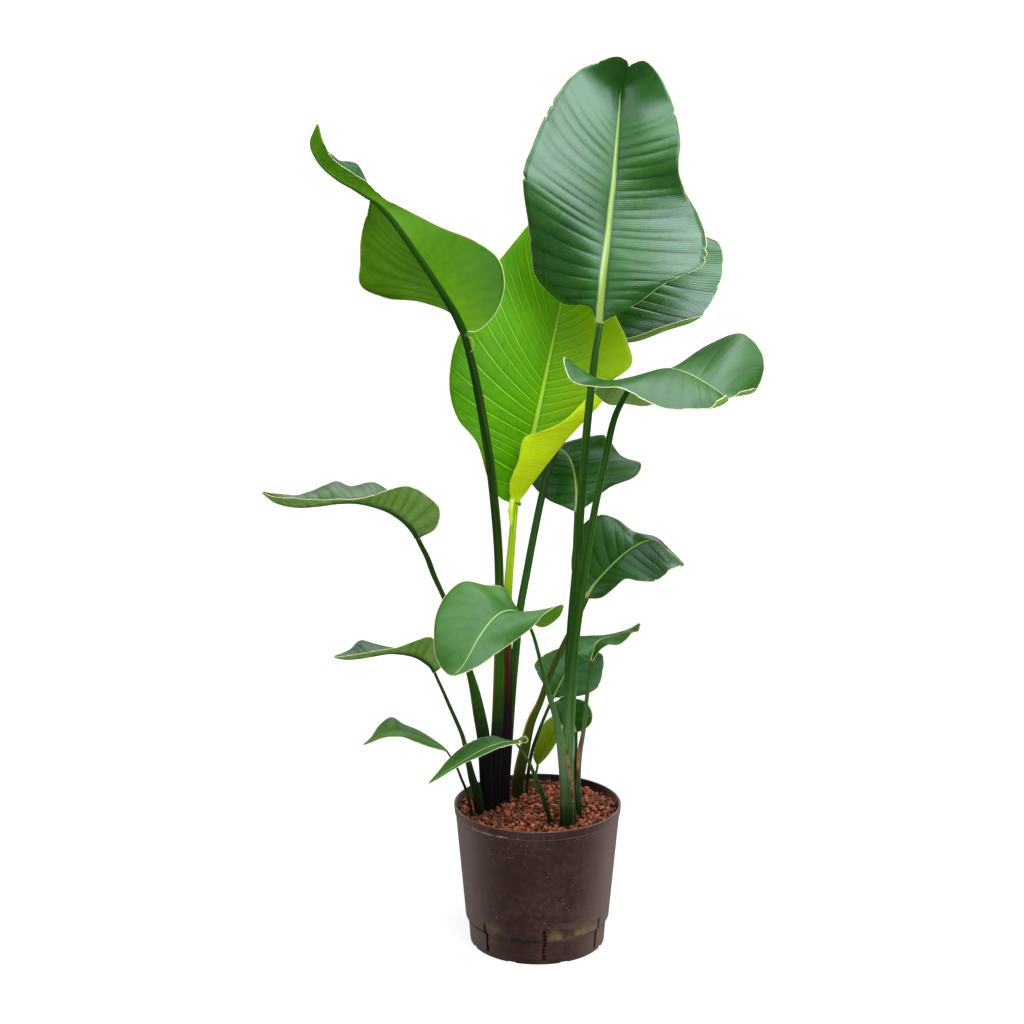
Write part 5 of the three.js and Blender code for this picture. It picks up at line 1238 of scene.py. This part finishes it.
def makePot():
    rim, foot, wallTop = pot["height"], pot["footRadius"], pot["height"] - pot["collarHeight"]
    corners = [  # radius, height, and how far the corner is rounded
        (0, 0, 0), (foot, 0, 1.2), (potOuter(pot["bandHeight"]), pot["bandHeight"], 1.5),
        (potOuter(pot["stepHeight"]), pot["stepHeight"], 1.5), (potOuter(wallTop), wallTop, 0.4),
        (potOuter(wallTop) + pot["collarProud"], wallTop + pot["collarChamfer"], 0.4),
        (pot["rimRadius"], rim, pot["lip"]),
        (potInner(rim), rim, 0.8), (potInner(pot["stepHeight"]), pot["stepHeight"], 1.5),
        (potInner(pot["bandHeight"]), pot["bandHeight"], 1.5), (potInner(pot["floor"]), pot["floor"], 1.0),
        (0, pot["floor"], 0),
    ]
    profile = [corners[0][:2]]
    for before, corner, after in zip(corners, corners[1:], corners[2:]):
        profile += roundCorner(corner[:2], before[:2], after[:2], corner[2])
    profile.append(corners[-1][:2])
    points, faces = revolve(profile, pot["segments"])
    piece = buildMesh("pot_fine", points, faces, [potMaterial()])

    half = pot["slotWidth"] / 2
    top = pot["slotTop"] - half
    arch = [(half * math.cos(a), top + half * math.sin(a))
            for a in np.linspace(0, math.pi, pot["archPoints"])]
    slotOutline = [(-half, pot["slotFoot"]), (half, pot["slotFoot"])] + arch
    wide, low, high = pot["notchWidth"] / 2, -pot["notchBelow"], pot["notchHeight"]
    narrow = wide - pot["notchLean"]
    notchOutline = [(-wide, low), (wide, low), (narrow, high), (-narrow, high)]
    cutters = [prismCutter(slotOutline, pot["slotInner"], pot["cutOuter"], angle) for angle in slotAngles()]
    cutters += [prismCutter(notchOutline, pot["notchInner"], pot["cutOuter"],
                            360 * (k + 0.5) / pot["notches"]) for k in range(pot["notches"])]
    cutOut(piece, cutters)
    piece.data.polygons.foreach_set("use_smooth", np.full(len(piece.data.polygons), True))
    piece.data.set_sharp_from_angle(angle=math.radians(pot["sharpAngle"]))
    return piece


def slotAngles():
    return [pot["slotFirst"] + 360 / pot["slots"] * k for k in range(pot["slots"])]


settle(makePot(), "pot", "pot")
print("Pot made")


# Clay granulate: a body that fills the pot, with loose pellets on top and behind the slots. A hill is
# [across, depth, height, spread] in plan.
granulate = {
    "seed": 41, "pitch": 5.6, "jitter": 1.5, "small": 1.9, "large": 3.9, "largeRarity": 1.6,
    "lift": (-1.8, 2.2), "settled": 0.4, "under": 2.8, "underShrink": 0.12, "fromWall": 0.5,
    "intoStalk": 0.5, "stalkDepth": 1.6,  # how many times less a stalk's foot reaches in depth than across
    "sink": 3.6, "wallGap": 0.6, "floorGap": 0.4, "segments": 120, "rings": 26, "reliefFrom": 170.0,
    "tone": 0.16, "toneRange": 0.74, "toneRarity": 1.2, "roughShape": 0.17,
    "stretch": ((0.8, 1.25), (0.8, 1.2), (0.7, 1.0)), "underShift": 0.3, "wallRoom": 0.9,
    "rippleHeight": 0.5, "ripples": (1.1, 1.3), "innerHeight": 100.0, "bedShadeDraw": (0.0, 0.5),
    "hills": [(-75, -10, -2.2, 1800), (70, 45, -2.6, 1600), (-20, -62, 2.0, 1300)],
    "slotPitch": 5.2, "slotSize": (2.2, 3.0), "slotShade": 0.7, "underShade": 0.2,
    "slotMargins": (3, 1), "slotBehind": (0.75, 0.2), "slotAside": 1.2, "slotLift": 0.8,
    "toneMottle": 0.16, "redAt": 0.45, "paleAt": 0.8, "dustShare": 0.4,
    "dark": (0.006, 0.0015, 0.0008), "red": (0.12, 0.022, 0.006), "pale": (0.37, 0.085, 0.022),
    "ochre": (0.52, 0.19, 0.06),
}


def bedHeight(x, y):
    share = np.minimum(1, np.hypot(x, y) / pot["rimRadius"])
    level = bed["level"] + bed["mound"] * (1 - share ** 2)
    for across, depth, height, spread in granulate["hills"]:
        level = level + height * np.exp(-((x - across) ** 2 + (y - depth) ** 2) / spread)
    return level


def pelletMaterial():
    material, tree, shader = newMaterial("firedClay")
    tone = mottled(tree, 220.0, 900.0, 0.6) * granulate["toneMottle"] + readMap(tree, "draw")[0]
    ramp = put(tree, "ValToRGB", {"Fac": tone})
    stops = ramp.color_ramp.elements
    stops[0].color = (*granulate["dark"], 1)
    stops[1].color = (*granulate["ochre"], 1)
    for shade in ("red", "pale"):
        stops.new(granulate[shade + "At"]).color = (*granulate[shade], 1)
    dust = useGroup(tree, "specks", {"Density": 700.0, "Size": 0.2, "Patches": 90.0})["Mask"]
    colour = blend(dust * granulate["dustShare"], Wire(ramp.outputs[0]), pot["dust"])
    setShader(shader, colour, 0.46, noise(objectPlace(tree), 1500.0), 0.6, 0.0004, Specular_IOR_Level=0.2)
    return material


def ballTemplate():  # a ball of 80 triangles
    golden = (1 + 5 ** 0.5) / 2
    corners = np.array([(-1, golden, 0), (1, golden, 0), (-1, -golden, 0), (1, -golden, 0),
                        (0, -1, golden), (0, 1, golden), (0, -1, -golden), (0, 1, -golden),
                        (golden, 0, -1), (golden, 0, 1), (-golden, 0, -1), (-golden, 0, 1)], float)
    points = [unit(p) for p in corners]
    near = np.abs(np.linalg.norm(corners[:, None] - corners, axis=-1) - 2) < 1e-6
    faces = [(a, b, c) for a in range(12) for b in range(a + 1, 12) for c in range(a + 1, 12)
             if near[a, b] and near[b, c] and near[c, a]
             and np.dot(np.cross(corners[b] - corners[a], corners[c] - corners[a]), corners[a]) > 0]
    middles = {}

    def middle(a, b):
        key = (min(a, b), max(a, b))
        if key not in middles:
            middles[key] = len(points)
            points.append(unit(points[a] + points[b]))
        return middles[key]

    smaller = []
    for a, b, c in faces:
        ab, bc, ca = middle(a, b), middle(b, c), middle(c, a)
        smaller += [(a, ab, ca), (b, bc, ab), (c, ca, bc), (ab, bc, ca)]
    return np.array(points), np.array(smaller)


def insideStalk(x, y):  # how deep inside a stalk's foot a point of the bed lies
    asides = [np.hypot(x - leaf["foot"][0], (y - leaf["foot"][1]) * granulate["stalkDepth"])
              for leaf in leaves]
    return max(leaf["stalk"][0][3] / 2 - aside for leaf, aside in zip(leaves, asides))


def makeBed(material):
    floorZ = pot["floor"] + granulate["floorGap"]
    gap = granulate["wallGap"]
    limit = potInner(bed["level"]) - gap
    profile = [(0, floorZ)]
    levels = (floorZ, pot["bandHeight"], pot["stepHeight"], granulate["innerHeight"])
    profile += [(potInner(z) - gap, z) for z in levels]
    profile += [(limit * r, bed["level"]) for r in np.linspace(0.02, 1, granulate["rings"])[::-1]]
    profile.append((0, bed["level"]))
    points, faces = revolve(profile, granulate["segments"])
    top = points[:, 2] > granulate["reliefFrom"]
    x, y = points[top, 0], points[top, 1]
    acrossRipples, depthRipples = granulate["ripples"]
    ripple = granulate["rippleHeight"] * np.sin(x * acrossRipples) * np.cos(y * depthRipples)
    points[top, 2] = bedHeight(x, y) - granulate["sink"] + ripple
    # painted shade: the bed takes the darkest colour, so that the gaps between the pellets read as shade
    tone = np.tile(granulate["bedShadeDraw"], (len(points), 1))
    return buildMesh("granulate_bed", points, faces, [material], maps={"draw": tone})


def layPellets(draw):  # places, sizes and shades of the pellets, on top and behind the slots
    pitch = granulate["pitch"]
    rowPitch = pitch * math.sqrt(3) / 2
    reach = int(pot["rimRadius"] / rowPitch) + 2
    cells = [(layer, row, k) for layer in (0, 1) for row in range(-reach, reach + 1)
             for k in range(-reach, reach + 1)]
    laid = []
    limit = potInner(bed["level"])
    for layer, row, k in cells:
        x = (k + 0.5 * (row % 2) + 0.5 * layer) * pitch + draw.uniform(-1, 1) * granulate["jitter"]
        shift = layer * pitch * granulate["underShift"]
        y = row * rowPitch + shift + draw.uniform(-1, 1) * granulate["jitter"]
        share = draw.random() ** granulate["largeRarity"]
        size = granulate["small"] + (granulate["large"] - granulate["small"]) * share
        lift = draw.uniform(*granulate["lift"])
        outside = math.hypot(x, y) > limit - size * granulate["wallRoom"] - granulate["fromWall"]
        if not outside and insideStalk(x, y) <= -granulate["intoStalk"]:
            z = float(bedHeight(x, y)) - layer * granulate["under"] + lift - granulate["settled"]
            size = size * (1.0 - granulate["underShrink"] * layer)
            laid.append((x, y, z, size, granulate["underShade"] if layer else 1.0))
    above, below = granulate["slotMargins"]
    behind, gap = granulate["slotBehind"]
    for angle in slotAngles():
        for z in np.arange(pot["slotFoot"] + above, pot["slotTop"] - below, granulate["slotPitch"]):
            size = draw.uniform(*granulate["slotSize"])
            radius = potInner(z) - size * behind - gap
            turn = math.radians(angle) + draw.uniform(-1, 1) * granulate["slotAside"] / radius
            x, y = radius * math.sin(turn), -radius * math.cos(turn)
            lift = draw.uniform(-1, 1) * granulate["slotLift"]
            laid.append((x, y, z + lift, size, granulate["slotShade"]))
    return laid


def makePellets(material):
    draw = np.random.default_rng(granulate["seed"])
    ball, ballFaces = ballTemplate()
    points, faces, tones = [], [], []
    for index, (x, y, z, size, shade) in enumerate(layPellets(draw)):
        shape = ball * np.array([draw.uniform(*span) for span in granulate["stretch"]])
        shape = shape * (1 + draw.uniform(-granulate["roughShape"], granulate["roughShape"], (len(ball), 1)))
        yaw = draw.uniform(0, 2 * math.pi)
        turn = np.array([[math.cos(yaw), math.sin(yaw), 0], [-math.sin(yaw), math.cos(yaw), 0], [0, 0, 1]])
        points.append(shape @ turn * size + [x, y, z])
        faces.append(ballFaces + index * len(ball))
        tone = granulate["tone"] + granulate["toneRange"] * draw.random() ** granulate["toneRarity"]
        tone = tone * shade
        tones.append(np.tile([tone, draw.random()], (len(ball), 1)))
    return buildMesh("granulate_pellets", np.vstack(points), [np.vstack(faces)], [material],
                     maps={"draw": np.vstack(tones)})


clay = pelletMaterial()
packed, pellets = makeBed(clay), makePellets(clay)
for piece in (packed, pellets):
    settle(piece, "granulate", "granulate")
print("Granulate made:", len(pellets.data.polygons), "pellet faces")


# The rootstocks stay as they are in the frame, hidden in the granulate, with a bark finish
barkTones = ((0.2, 0.13, 0.07), (0.46, 0.36, 0.22))


def barkMaterial():
    material, tree, shader = newMaterial("rootstockBark")
    mottle = mottled(tree, 40.0, 300.0, 0.6)
    setShader(shader, blend(between(mottle, -0.8, 0.8), *barkTones), 0.85, mottle, 0.5, 0.001)
    return material


bark = barkMaterial()
for name in ("left_rootstock", "right_rootstock"):
    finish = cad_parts[name].data.materials
    finish.clear()
    finish.append(bark)
print("Rootstocks finished")
